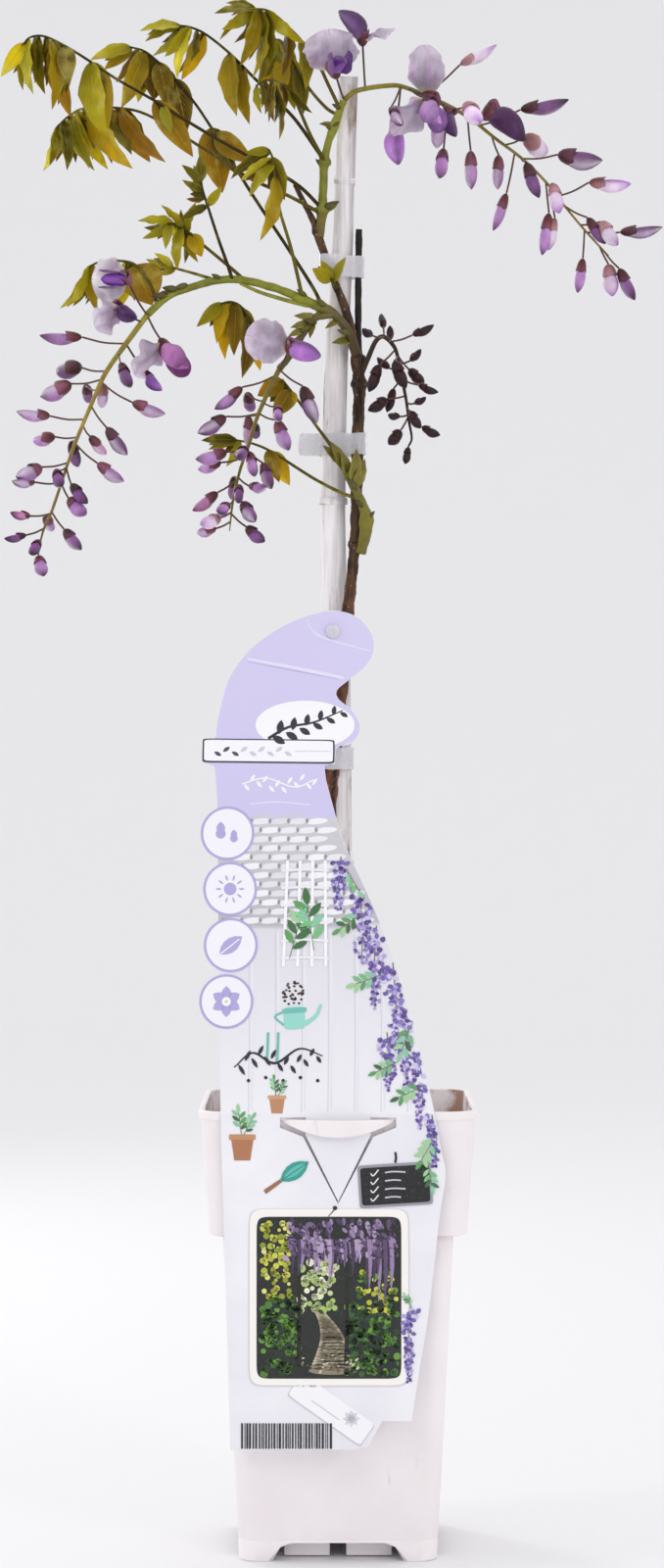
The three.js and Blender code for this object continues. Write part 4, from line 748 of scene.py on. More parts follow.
def blade(foot, along, frame_of, length, width, outline, fold, bulge, **extra):
    """A closed thin blade. extra may hold its tint, tip_tint, foot_tint, and edge_tint with its share edge;
    lean, painted shade that darkens one side and lightens the other; ruffle with its waves and phase, the
    edge's scallop and the face's pleat; how far the tip curls down, the middle sways aside and the tip is
    notched; and thick, rows and sides."""
    across, up = frame_of
    rows, sides = extra.get("rows", 15), extra.get("sides", 16)
    t = 0.5 - 0.5 * np.cos(np.linspace(0, np.pi, rows))[:, None]
    a = all_round(sides)[None]
    s = np.cos(a)
    half = width / 2 * outline(np.clip(t, 1e-4, 1 - 1e-4))
    phase = extra.get("phase", 0)
    half = half * (1 + extra.get("scallop", 0) * (np.sin(17 * t + 9 * phase) + np.sin(29 * t + 5 * phase)))
    half[0] = 0.3
    half[-1] = 0
    reach = t * (1 - extra.get("notch", 0) * np.exp(-((s / 0.3) ** 2)) * t**3)
    wave = extra.get("ruffle", 0) * np.sin(2 * np.pi * (extra.get("waves", 3) * t + s * 0.4 + phase))
    lift = 4 * bulge * length * t * (1 - t) + fold * half * np.abs(s)
    lift = lift + wave * half * s**2 * np.sin(np.pi * t)
    lift = lift + extra.get("pleat", 0) * half * np.cos(8 * s + 6 * phase + 2 * t) * np.sqrt(t)
    lift = lift - extra.get("curl", 0) * length * t**2.5
    thinned = np.sqrt(np.clip(half / (half.max() + 1e-9), 0, 1))
    lift = lift + extra.get("thick", 0.4) / 2 * np.sin(a) * thinned
    aside = half * s + extra.get("sway", 0) * length * np.sin(np.pi * t) * 0.5
    points = foot + reach[..., None] * length * along + aside[..., None] * across + lift[..., None] * up
    tint = np.array(extra.get("tint", (1, 1, 1)), float)
    tip_tint = np.array(extra.get("tip_tint", tint), float)
    tints = mix(tint, tip_tint, (t**1.5)[..., None]) + 0 * points
    if "foot_tint" in extra:
        tints = mix(np.array(extra["foot_tint"]), tints, np.clip(t * 4.5, 0, 1)[..., None])
    # Painted shade: lean makes one half of the blade darker and the other lighter.
    tints = tints * (1 + extra.get("lean", 0) * s[..., None])
    if "edge_tint" in extra:
        edge = (np.abs(s) ** 3 * extra.get("edge", 0.8))[..., None]
        tints = mix(tints, np.array(extra["edge_tint"]), edge)
    return surface(in_place(points), tints, across=s * 0.5 + 0.5, along=t.ravel())


print("a leaflet is widest at", round(0.62 / 1.62, 3), "of its length")

# %% [markdown]
# ## Leaves
#
# Wisteria leaves are pinnate: leaflets in two ranks along a thin rib. Each leaf is listed as its rib, then
# for each leaflet where it leaves the rib, its tip and the width that shows, and a letter for its colour.
# Young leaflets are bronze or reddish, older ones olive, and the ones with light behind them yellow. Veins
# slant from the midrib: a sine over a slanted sum of the UVs is high along them.

# %% Leaf finish
leaf_finish, tree, shader = finish("young_leaf", (140, 126, 20), 0.42, Specular_IOR_Level=0.3)
place = node(tree, "UVMap").outputs[0]
flat = node(tree, "SeparateXYZ", {0: place})
aside = worked_out(tree, "ABSOLUTE", worked_out(tree, "SUBTRACT", flat.outputs[0], 0.5))
slant = worked_out(tree, "MULTIPLY_ADD", aside, -0.9, flat.outputs[1])
veins = span(tree, worked_out(tree, "SINE", worked_out(tree, "MULTIPLY", slant, 52.0)), 0.72, 1.0)
midrib = span(tree, aside, 0.045, 0.01)
lines = worked_out(tree, "MAXIMUM", veins, midrib)
patchy = noise(tree, 130, detail=5.0)
tinted = blended(tree, span(tree, patchy, 0.35, 0.7), tint_of(tree), linear(88, 62, 8))
partly = blended(tree, 0.7, tinted, tint_of(tree))
pale_lines = blended(tree, 0.5, partly, linear(214, 198, 70))
veined = blended(tree, lines, partly, pale_lines)
# Painted highlight: pale patches scattered by noise, standing for light shining off and through the
# leaflets.
gleam = span(tree, noise(tree, 75, detail=5.0), 0.54, 0.74, 0.0, 0.6)
leaf_colour = blended(tree, gleam, veined, linear(244, 236, 132))
colour_from(tree, shader, leaf_colour)
bump(tree, shader, worked_out(tree, "MULTIPLY", lines, -1.0), 0.25)
rough_from(tree, shader, patchy, 0.36, 0.55)
see_through(tree, shader, 0.5, leaf_colour)
print(leaf_finish.name, "has", len(tree.nodes), "nodes")

# %% Leaves as laid out
# A leaflet's colours at its foot and its tip, by letter.
TONES = {
    "g": ((162, 154, 10), (194, 178, 22)),
    "o": ((190, 160, 8), (224, 190, 20)),
    "b": ((152, 116, 12), (180, 138, 22)),
    "d": ((98, 68, 8), (140, 100, 14)),
    "y": ((236, 216, 14), (255, 240, 40)),
    "l": ((212, 206, 46), (238, 228, 90)),
    "r": ((194, 138, 40), (220, 164, 62)),
    "n": ((94, 88, 14), (124, 112, 26)),
}
LEAVES = {
    "leaf_long_left": (
        [
            [-8.5, -9.5, 680], [-21, -12, 692], [-41.5, -14, 704], [-58, -18, 713], [-75, -22, 723],
            [-92.5, -26, 734], [-113.5, -30, 746], [-127, -32, 755], [-140, -33, 763], [-150, -33, 767.5],
            [-157, -33, 767], [-161, -33, 763],
        ],
        [
            [-160, 764, -172, 747, 8, "y"], [-157.7, 765, -161.8, 740, 5, "g"],
            [-156.7, 765, -156.7, 738, 6, "l"], [-152.7, 766, -150.6, 738, 7.5, "g"],
            [-146.6, 764, -144.6, 730, 8, "o"], [-145.6, 762, -137.5, 726, 11, "b"],
            [-138.5, 762, -137.5, 743, 10, "d"], [-125.4, 754, -117.3, 720.7, 15, "o"],
            [-127.4, 752, -119, 715.7, 13, "g"], [-93, 734.5, -74, 706, 13, "b"],
            [-89, 732, -85, 718, 6, "l"],
        ],
    ),
    "leaf_high_left": (
        [
            [-8, -15, 629], [-12, -12, 638], [-24, -6, 657], [-44.5, 2, 688], [-58.5, 10, 711],
            [-66, 14, 723], [-73.5, 18, 734], [-83.5, 24, 746], [-92.5, 27, 755], [-99, 28, 760],
            [-106, 28, 762],
        ],
        [
            [-105, 762, -126.4, 756, 7, "g"], [-105, 762, -119.3, 750.5, 7, "o"],
            [-99, 760, -110, 731, 11, "o"], [-93, 755, -94, 735, 13.5, "d"], [-84, 745, -77, 719, 13, "d"],
            [-66, 720.5, -59, 688, 17, "b"], [-63, 718, -43, 703, 12, "b"], [-61, 715, -48, 705, 7, "g"],
        ],
    ),
    "leaf_upper_arch": (
        [
            [-7, -9, 704], [-21, 0, 724], [-31.5, 5, 735], [-42.5, 9, 746], [-55.5, 12, 759],
            [-67.5, 13, 768.5], [-75, 13, 772], [-81, 13, 773],
        ],
        [
            [-80.5, 773.5, -101, 771, 5, "l"], [-80.5, 773, -98.5, 765.5, 5, "g"],
            [-75, 772, -88, 757, 7, "g"], [-80, 772, -94, 757, 5, "l"], [-76, 771.5, -83, 746.5, 6, "l"],
            [-68.5, 768.5, -79.5, 745, 9, "o"], [-55.5, 758, -52.5, 727, 10, "o"],
            [-54, 757, -50, 734, 6, "l"], [-48.5, 751, -46, 722.5, 8, "o"],
        ],
    ),
    "leaf_crown": (
        [
            [1, -9, 730.5], [-5, -8, 743], [-10, -8, 753.5], [-17, -9, 763], [-21, -10, 768],
            [-31.5, -13, 778], [-37, -14, 781], [-42, -14, 781.5],
        ],
        [
            [-42, 782, -63, 780, 5, "n"], [-42, 782, -57, 785, 4, "n"], [-41, 781, -59, 770.5, 7, "g"],
            [-40, 781, -61, 766.5, 5, "g"], [-41, 781, -49, 752, 8, "o"], [-39, 781, -42, 746, 5, "g"],
            [-36, 780, -17, 763, 6, "g"], [-37, 780, -39.5, 742, 8, "g"], [-19, 766, -15.5, 740, 7, "g"],
        ],
    ),
    "leaf_crown_back": (
        [[0, -8.7, 727.2], [-6, -2, 731], [-14, 5, 740], [-20.5, 10, 750], [-28, 15, 764], [-32, 16, 766]],
        [[-31, 765, -38.5, 742, 12, "o"], [-28, 763, -25, 741, 11, "g"], [-24, 757, -20, 737, 8, "o"]],
    ),
    "leaf_crown_low": (
        [
            [-7, -11, 704], [-14, -17, 717], [-20, -24, 731], [-24, -29, 739.5], [-30, -33, 744.5],
            [-37, -34, 745], [-42, -34, 742],
        ],
        [
            [-33, 744, -33.5, 724, 5, "d"], [-34, 744, -28.5, 715, 4, "n"], [-41, 742, -39.5, 728, 4, "g"],
            [-37, 744, -36.5, 727.5, 4, "d"], [-24, 740, -13.5, 728, 4, "n"],
        ],
    ),
    "leaf_low_left": (
        [
            [-8.5, -10, 677], [-25, -17, 686], [-45, -22, 695], [-62, -20, 706], [-78, -9, 716],
            [-97, -2, 727.3], [-111, 1, 730.8], [-129, 2, 730.8], [-137, 2, 727], [-143, 2, 721.7],
        ],
        [
            [-143, 722, -146.6, 701.5, 6, "g"], [-143, 722, -149.6, 698.5, 6, "l"],
            [-140.5, 723.5, -137.5, 699.5, 7, "n"], [-139, 724, -126.4, 700.5, 8, "y"],
            [-135.5, 727, -125.4, 698.5, 7, "g"], [-132, 728.5, -118.3, 699, 9, "y"],
            [-128, 730, -106, 699.5, 11, "o"], [-113, 730, -96, 703.5, 13, "r"],
            [-111, 730, -89, 702.5, 9, "r"],
        ],
    ),
    "leaf_inner": (
        [
            [-18, -16.5, 634], [-24, -21, 659.5], [-30, -26, 680], [-32, -29, 695.5], [-33.3, -30, 705],
            [-35, -31, 709.5],
        ],
        [
            [-35, 709.5, -47.5, 708, 5, "g"], [-35, 708, -55, 695.5, 6, "n"],
            [-34, 702, -45.5, 686, 6, "g"], [-33.5, 706, -27, 684, 8, "g"], [-32, 696, -38.5, 663, 8, "o"],
            [-34, 705, -50, 694, 5, "l"],
        ],
    ),
    "leaf_spray_tall": (
        [
            [-54, -18.5, 643.5], [-56, -21, 650], [-61, -26, 664], [-66.5, -30, 681], [-69, -31, 689],
            [-70, -31, 695],
        ],
        [
            [-66.5, 681, -59, 691, 5, "g"], [-66.5, 681, -80.5, 674, 5, "n"],
            [-69, 689, -79.5, 694, 4, "n"], [-68.5, 686.5, -75.5, 687, 4, "n"],
            [-69, 692, -79.5, 702, 5, "n"], [-69.5, 694, -70.5, 707, 6, "n"],
        ],
    ),
    "leaf_spray_mid": (
        [
            [-47.5, -17, 643], [-55.5, -14, 650], [-70, -9, 662], [-77, -8, 668], [-83, -8, 671.5],
            [-87, -8, 672],
        ],
        [
            [-75, 667, -69.5, 655, 9, "o"], [-79, 669, -72, 652, 5, "g"], [-80, 669, -82.5, 648, 6, "g"],
            [-84, 671, -80, 660, 4, "l"], [-84, 671, -102.5, 674, 5, "l"], [-86, 671, -99.5, 664, 5, "g"],
            [-86, 671, -88, 659, 5, "l"], [-79, 670, -90, 682, 4, "g"], [-76, 668, -73, 683, 4, "g"],
        ],
    ),
    "leaf_spray_low": (
        [[-62, -18.5, 643], [-67, -15, 644.5], [-73.5, -12, 646.5], [-82.5, -8, 649], [-87, -7, 650.5]],
        [[-84, 649.5, -93.5, 657, 4, "l"], [-86, 650, -98, 653.5, 4, "l"], [-83, 649, -91, 645.5, 4, "g"]],
    ),
    "leaf_behind_raceme": (
        [
            [-92, -23.4, 630.5], [-96, -16, 641], [-103, -9, 650.5], [-112, -3, 653], [-121, 2, 652.5],
            [-128, 4, 649.5],
        ],
        [
            [-103, 651, -95, 630.4, 22, "b"], [-108, 652, -111.9, 627.3, 9, "y"],
            [-118, 652, -117.2, 624.8, 8, "o"], [-126.5, 650.5, -140.9, 628, 5, "g"],
            [-127, 650.5, -137.5, 629, 6, "l"], [-126.5, 650.5, -134.5, 629.5, 6, "g"],
            [-125, 651, -123.5, 627, 7, "o"],
        ],
    ),
    "leaf_centre": (
        [
            [-17, -21.7, 616.8], [-24, -16, 611], [-32, -12, 610.5], [-41, -8, 617.5], [-45.5, -6, 624],
            [-50, -6, 630], [-55, -6, 632], [-60, -6, 631],
        ],
        [
            [-59, 631, -71.9, 619.4, 7, "g"], [-58, 631, -65.3, 619.4, 6, "n"],
            [-57, 631, -62.2, 611, 7, "o"], [-54, 631, -58.5, 603, 8, "o"],
            [-52, 631, -53.5, 604.8, 9, "b"], [-48, 629, -43.5, 609, 9, "g"],
            [-46, 625, -48, 593.2, 9, "d"], [-43, 620, -40, 597, 8, "o"],
        ],
    ),
    "leaf_lower": (
        [
            [11, -12, 531.5], [2, -11.5, 534.5], [-12.5, -12, 542], [-33, -13, 555], [-43, -14, 559.5],
            [-52, -15, 561.5],
        ],
        [
            [-52, 561, -69.7, 561.6, 6, "n"], [-51, 561, -66, 557, 5, "g"],
            [-50, 560.5, -56.6, 547.9, 5, "g"], [-34, 555.5, -24.7, 538.5, 10, "o"],
            [-36, 556, -30, 540, 8, "b"],
        ],
    ),
    "leaf_young": (
        [[-0.5, -8.6, 638.5], [-1.5, -12, 640.5], [-2.5, -16, 642.5], [-3.5, -18.5, 644]],
        [[-3, 643, -13, 649, 8, "g"], [-3, 643, -8.5, 653, 6, "g"], [-2.5, 642, 4, 655, 5, "l"]],
    ),
}
# More leaflets, of the same form, that fill two crowded leaves from behind.
FILL = {
    "leaf_crown_back": [
        [-30, 763, -34, 738, 9, "g"], [-27, 761, -29, 732, 9, "o"], [-24, 757, -22.5, 730, 9, "g"],
        [-22, 753, -17, 728, 8, "n"], [-20, 750, -15.5, 735, 8, "g"], [-29, 765, -37, 746, 8, "n"],
        [-26, 760, -25.5, 736, 8, "l"],
    ],
    "leaf_high_left": [[-92, 754, -86, 731, 11, "b"], [-97, 758, -102, 734, 10, "g"]],
}
LEAF_OVER_BLOOM = (
    [[0.5, -15, 553], [-6, -17, 562], [-12.7, -19, 571], [-23.5, -21, 586], [-28.5, -21.5, 592.5]],
    [[-24, 587, -33, 573, 10, "b"], [-28, 592, -41, 584, 10, "b"], [-24, 587, -26, 576, 9, "o"]],
)
print(sum(len(leaf[1]) for leaf in LEAVES.values()), "leaflets on", len(LEAVES), "leaves")

# %% Leaf surfaces
RIB_TINTS = {
    "leaf_long_left": (78, 64, 24), "leaf_high_left": (72, 60, 22), "leaf_upper_arch": (64, 52, 20),
    "leaf_crown": (154, 144, 62), "leaf_crown_back": (140, 130, 56), "leaf_spray_tall": (70, 60, 28),
    "leaf_inner": (140, 132, 50),
}
PLAIN_RIB = (124, 112, 40)
RIB_ROWS = 49
# Leaflets whose tips hang within this of each other get a darker one between and behind them, its dark tone
# painted shade.
NEIGHBOURS = 26


def nearest(line, x, z):
    """The point of a line that shows nearest to a place in the front view."""
    return line[np.argmin(np.hypot(line[:, 0] - x, line[:, 2] - z))]


def leaflet(foot, tip, width, side, turn, tone, seed):
    """A leaflet from foot to tip, turned about its length until its width shows as it should."""
    chord = tip - foot
    length = np.linalg.norm(chord)
    along = unit(chord)
    whole = max(width, length * 0.36)
    twist = turn * min(math.acos(width / whole), 1.2)
    directions = blade_frame(along, np.cross(along, DEPTH), UP + DEPTH * side, twist)
    base, tip_colour = (np.array(linear(*c)) for c in TONES[tone])
    lively = mix(0.75, 1.5, draw(seed + 0.3))
    # lean paints shade on one half of the leaflet, and edge_tint paints a pale rim of light shining through
    # its edge.
    return blade(
        foot, along, directions, length, whole, leaflet_outline, 0.2, 0.05,
        ruffle=0.2, waves=2.5, phase=draw(seed), curl=0.05, sway=0.1 * (draw(seed + 0.7) - 0.5),
        tint=base * lively, tip_tint=tip_colour * lively, lean=0.4 * (draw(seed + 0.6) - 0.5),
        edge_tint=linear(226, 208, 70), edge=0.5,
    )


def pinnate_leaf(name, leaf, seed):
    """The surfaces of a leaf: a tapering rib, a short stalk and a blade for each leaflet."""
    rib, leaflets = leaf[0], leaf[1] + FILL.get(name, [])
    line = smooth(rib, 101)
    radii = np.linspace(1.0, 0.5, RIB_ROWS)
    rib_tint = linear(*RIB_TINTS.get(name, PLAIN_RIB))
    parts = [tube(smooth(rib, RIB_ROWS), radii, 8, rib_tint)]
    for k, (foot_x, foot_z, tip_x, tip_z, width, tone) in enumerate(leaflets):
        foot = nearest(line, foot_x, foot_z)
        side = 1 if k % 2 else -1
        reach = mix(0.12, 0.38, draw(seed + k))
        depth = foot[1] + side * reach * math.hypot(tip_x - foot[0], tip_z - foot[2])
        turn = -1 if draw(seed + 50 + k) < 0.5 else 1
        tip = np.array([tip_x, depth, tip_z])
        parts.append(leaflet(foot, tip, width, side, turn, tone, seed + k))
        stalk = foot + (tip - foot) * np.linspace(0, 0.16, 4)[:, None]
        parts.append(tube(stalk, [0.65, 0.55, 0.45, 0.35], 6, rib_tint))
    for k, (one, two) in enumerate(zip(leaflets, leaflets[1:])):
        if math.dist(one[2:4], two[2:4]) < NEIGHBOURS:
            foot_x, foot_z, tip_x, tip_z = ((a + b) / 2 for a, b in zip(one[:4], two[:4]))
            foot = nearest(line, foot_x, foot_z)
            tip = mix(foot, np.array([tip_x, foot[1] + 9, tip_z]), mix(0.72, 0.92, draw(seed + 130 + k)))
            parts.append(leaflet(foot, tip, min(one[4], two[4]) * 0.85, 1, 1, "nd"[k % 2], seed + 90 + k))
    return parts


for k, (name, leaf) in enumerate(LEAVES.items()):
    parts = pinnate_leaf(name, leaf, 200 * (k + 1))
    make_piece(name.replace("leaf", "foliage"), parts, leaf_finish, [name])

# %% [markdown]
# ## Shoots
#
# The green shoots carry small pointed scales and plump buds, each listed as its foot, its way and its
# length. A shoot's colour runs through a few greens and browns along it. One small leaf grows from among the
# scales of the lower shoot.

# %% Shoots
SCALES = {
    "shoot_lower": [
        [[3.5, -14, 546], [-0.5, -0.2, 1], 17], [[5, -13.5, 543], [-0.25, -0.5, 1], 15],
        [[2, -14.5, 549], [-0.9, -0.2, 0.9], 14], [[7.5, -13, 539], [0.1, -0.25, 1], 19],
        [[8.5, -12.6, 537], [0.35, -0.1, 1], 16], [[1.5, -14.6, 550], [-0.5, -0.8, 0.9], 11],
    ],
    "shoot_left": [
        [[-4, -14.6, 627], [-0.6, -0.6, 0.8], 7], [[1, -14, 622.5], [-0.9, -0.3, -0.5], 9],
        [[7, -10, 612], [-1, -0.6, -0.1], 12], [[-84, -22, 636], [-0.9, -0.3, 0], 9],
        [[-66, -19, 642], [-0.9, -0.3, -0.35], 9],
    ],
    "spur_middle": [
        [[-10, -18, 623], [-1, -0.2, 0.15], 13], [[-13, -19.5, 621], [-1, -0.3, -0.2], 12],
        [[-16, -21, 618], [-1, -0.4, -0.4], 11], [[-12, -19, 621], [-0.3, -0.5, -1], 9],
    ],
    "shoot_upper": [
        [[-7.8, -8.8, 679], [1, -0.6, 0.3], 9], [[-2, -8.8, 722], [-1, -0.3, 0.1], 8],
        [[-7, -8.8, 703], [-0.6, -0.5, 1], 8],
    ],
}
print(sum(len(scales) for scales in SCALES.values()), "scales")

# %% Shoot finish
shoot_finish, tree, shader = finish("green_shoot", (126, 134, 44), 0.5)
streaks = noise(tree, 260, detail=7.0)
brownish = span(tree, streaks, 0.42, 0.78, 0.0, 0.55)
colour_from(tree, shader, blended(tree, brownish, tint_of(tree), linear(84, 72, 16)))
rough_from(tree, shader, streaks, 0.4, 0.6)
bump(tree, shader, streaks, 0.3)
print(shoot_finish.name, "has", len(tree.nodes), "nodes")


# %% Scales, buds and shoot surfaces
def scale_blade(foot, way, length):
    """A small pointed blade that faces the front, two fifths as wide as it is long."""
    along = unit(np.array(way, float))
    directions = blade_frame(along, np.cross(along, DEPTH), -DEPTH, 0.5)
    return blade(
        np.array(foot, float), along, directions, length, length * 0.4, leaflet_outline, 0.25, 0.05,
        tint=linear(126, 122, 36), tip_tint=linear(92, 74, 34), edge_tint=linear(176, 164, 66), edge=0.5,
        ruffle=0.2, rows=11, sides=12,
    )


SHOOT_BUDS = {
    "shoot_upper": [
        [[-3, -9.5, 720], [-0.8, -0.3, 0.6], 7], [[-6.5, -10, 680], [0.9, -0.3, 0.4], 10],
        [[-8.5, -9.5, 702], [-0.7, -0.4, 0.7], 6], [[-2.5, -10, 721.5], [0.8, -0.5, 0.6], 6],
        [[-10, -9.5, 668], [-0.8, -0.4, 0.6], 5], [[0.5, -10, 731], [-0.9, -0.4, 0.5], 6],
    ],
    "shoot_left": [
        [[-88, -23.5, 635.5], [-0.9, -0.3, -0.1], 9], [[-83, -22.5, 638.5], [-1, -0.4, 0.1], 9],
        [[-78, -21.5, 640.5], [-1, -0.3, -0.3], 8], [[-17, -17, 635.5], [-0.8, -0.4, 0.6], 7],
        [[-7, -17, 630], [-0.7, -0.5, 0.7], 8], [[-9.5, -17, 626], [-0.8, -0.5, -0.5], 7],
        [[5, -14, 616], [-0.9, -0.5, 0.3], 8], [[-61, -20, 644.5], [-0.9, -0.4, 0.4], 6],
    ],
    "spur_middle": [
        [[-12, -19.5, 621.5], [-0.8, -0.6, 0.2], 9], [[-15, -21, 619.5], [-0.7, -0.6, -0.5], 8],
    ],
    "shoot_lower": [
        [[15.5, -12, 521.5], [0.7, -0.4, 0.8], 7], [[9, -14, 537], [-0.7, -0.5, 0.8], 9],
        [[4, -15, 546], [-0.4, -0.5, 0.9], 9], [[12.5, -13, 528], [-0.8, -0.5, 0.6], 7],
    ],
}


def shoot_bud(foot, way, length):
    """A plump pointed bud that leans on its stem."""
    along = unit(np.array(way, float))
    t = np.array([0, 0.05, 0.16, 0.32, 0.5, 0.68, 0.84, 0.95, 1.0])
    radii = np.array([0, 0.5, 0.8, 1, 0.95, 0.75, 0.45, 0.16, 0]) * length * 0.2
    body = turned(np.array(foot, float) - along * 1.5, along, t * length, radii, 12)
    tints = shaded([(78, 72, 28), (100, 92, 34), (62, 44, 30)], 9) * mix(0.45, 1.1, draw(foot[0]))
    return surface(in_place(body), tints)


SHOOT_TINTS = {
    "shoot_upper": [(104, 80, 34), (126, 130, 28), (114, 116, 26), (134, 138, 30), (140, 142, 32)],
    "shoot_left": [
        (72, 50, 28), (84, 66, 30), (104, 96, 30), (126, 128, 28), (134, 138, 30), (134, 138, 30),
        (126, 130, 30), (118, 122, 28), (132, 136, 30), (138, 140, 32),
    ],
    "spur_middle": [(104, 96, 30), (74, 62, 28), (96, 90, 30)],
    "shoot_lower": [(106, 94, 30), (126, 120, 30), (104, 98, 28), (120, 116, 30)],
}
SHOOT_ROWS = 110
LEFT_STALK = [[-15, -16.5, 630], [-27, -16, 633], [-40, -16.5, 637], [-50, -17.5, 641.5]]
STALK_ROWS = 30
for name, stops in SHOOT_TINTS.items():
    parts = [surface(capped(stem(name, SHOOT_ROWS, 16, 0.09, 8)), shaded(stops, SHOOT_ROWS + 2))]
    parts += [scale_blade(*scale) for scale in SCALES[name]]
    parts += [shoot_bud(*spec) for spec in SHOOT_BUDS[name]]
    if name == "shoot_left":
        stalk = smooth(LEFT_STALK, STALK_ROWS)
        parts.append(tube(stalk, np.linspace(1.2, 0.8, STALK_ROWS), 8, linear(148, 144, 44)))
    make_piece(name.replace("shoot", "green_shoot"), parts, shoot_finish, [name])
over_bloom = pinnate_leaf("leaf_over_bloom", LEAF_OVER_BLOOM, 100)
make_piece("foliage_over_bloom", over_bloom, leaf_finish)

# %% [markdown]
# ## Racemes
#
# A raceme is a hanging rachis with stalked buds. For each bud the list holds the height where its stalk
# leaves the rachis, x and z of its neck and of its tip, its width, and -1 or 1 where it plainly stands
# before or behind. What doesn't show of the lengths of stalk and bud runs forwards or backwards. `tones` has
# a letter for each bud's colours, and `stalk` and `bud` are those lengths at the raceme's foot and tip.
#
# An open flower is listed as the height of its stalk's foot, its own foot, the way it faces, its banner's
# way up, its size, how far the banner nods, whether the stalk leaves the rachis where that still rises, the
# colours of the banner and of the wings, and where needed the banner's share of length and of breadth.

# %% Petal finish
sheen = {"Sheen_Weight": 0.15, "Sheen_Roughness": 0.35}
petal_finish, tree, shader = finish("silky_petal", (186, 150, 196), 0.4, **sheen)
flush = span(tree, noise(tree, 120, detail=4.0), 0.4, 0.72, 0.0, 0.5)
# Painted sheen: pale streaks, drawn out by stretched noise, laid over the petal colour.
painted_sheen = span(tree, noise(tree, 260, (1, 1, 0.35), 3.0), 0.45, 0.7, 0.0, 0.6)
petal_colour = blended(tree, flush, tint_of(tree), linear(186, 142, 176), "MULTIPLY")
petal_colour = blended(tree, painted_sheen, petal_colour, linear(232, 214, 236), "OVERLAY")
colour_from(tree, shader, petal_colour)
rough_from(tree, shader, noise(tree, 300), 0.3, 0.5)
bump(tree, shader, noise(tree, 520, detail=6.0), 0.22)
see_through(tree, shader, 0.3, petal_colour)
print(petal_finish.name, "has", len(tree.nodes), "nodes")

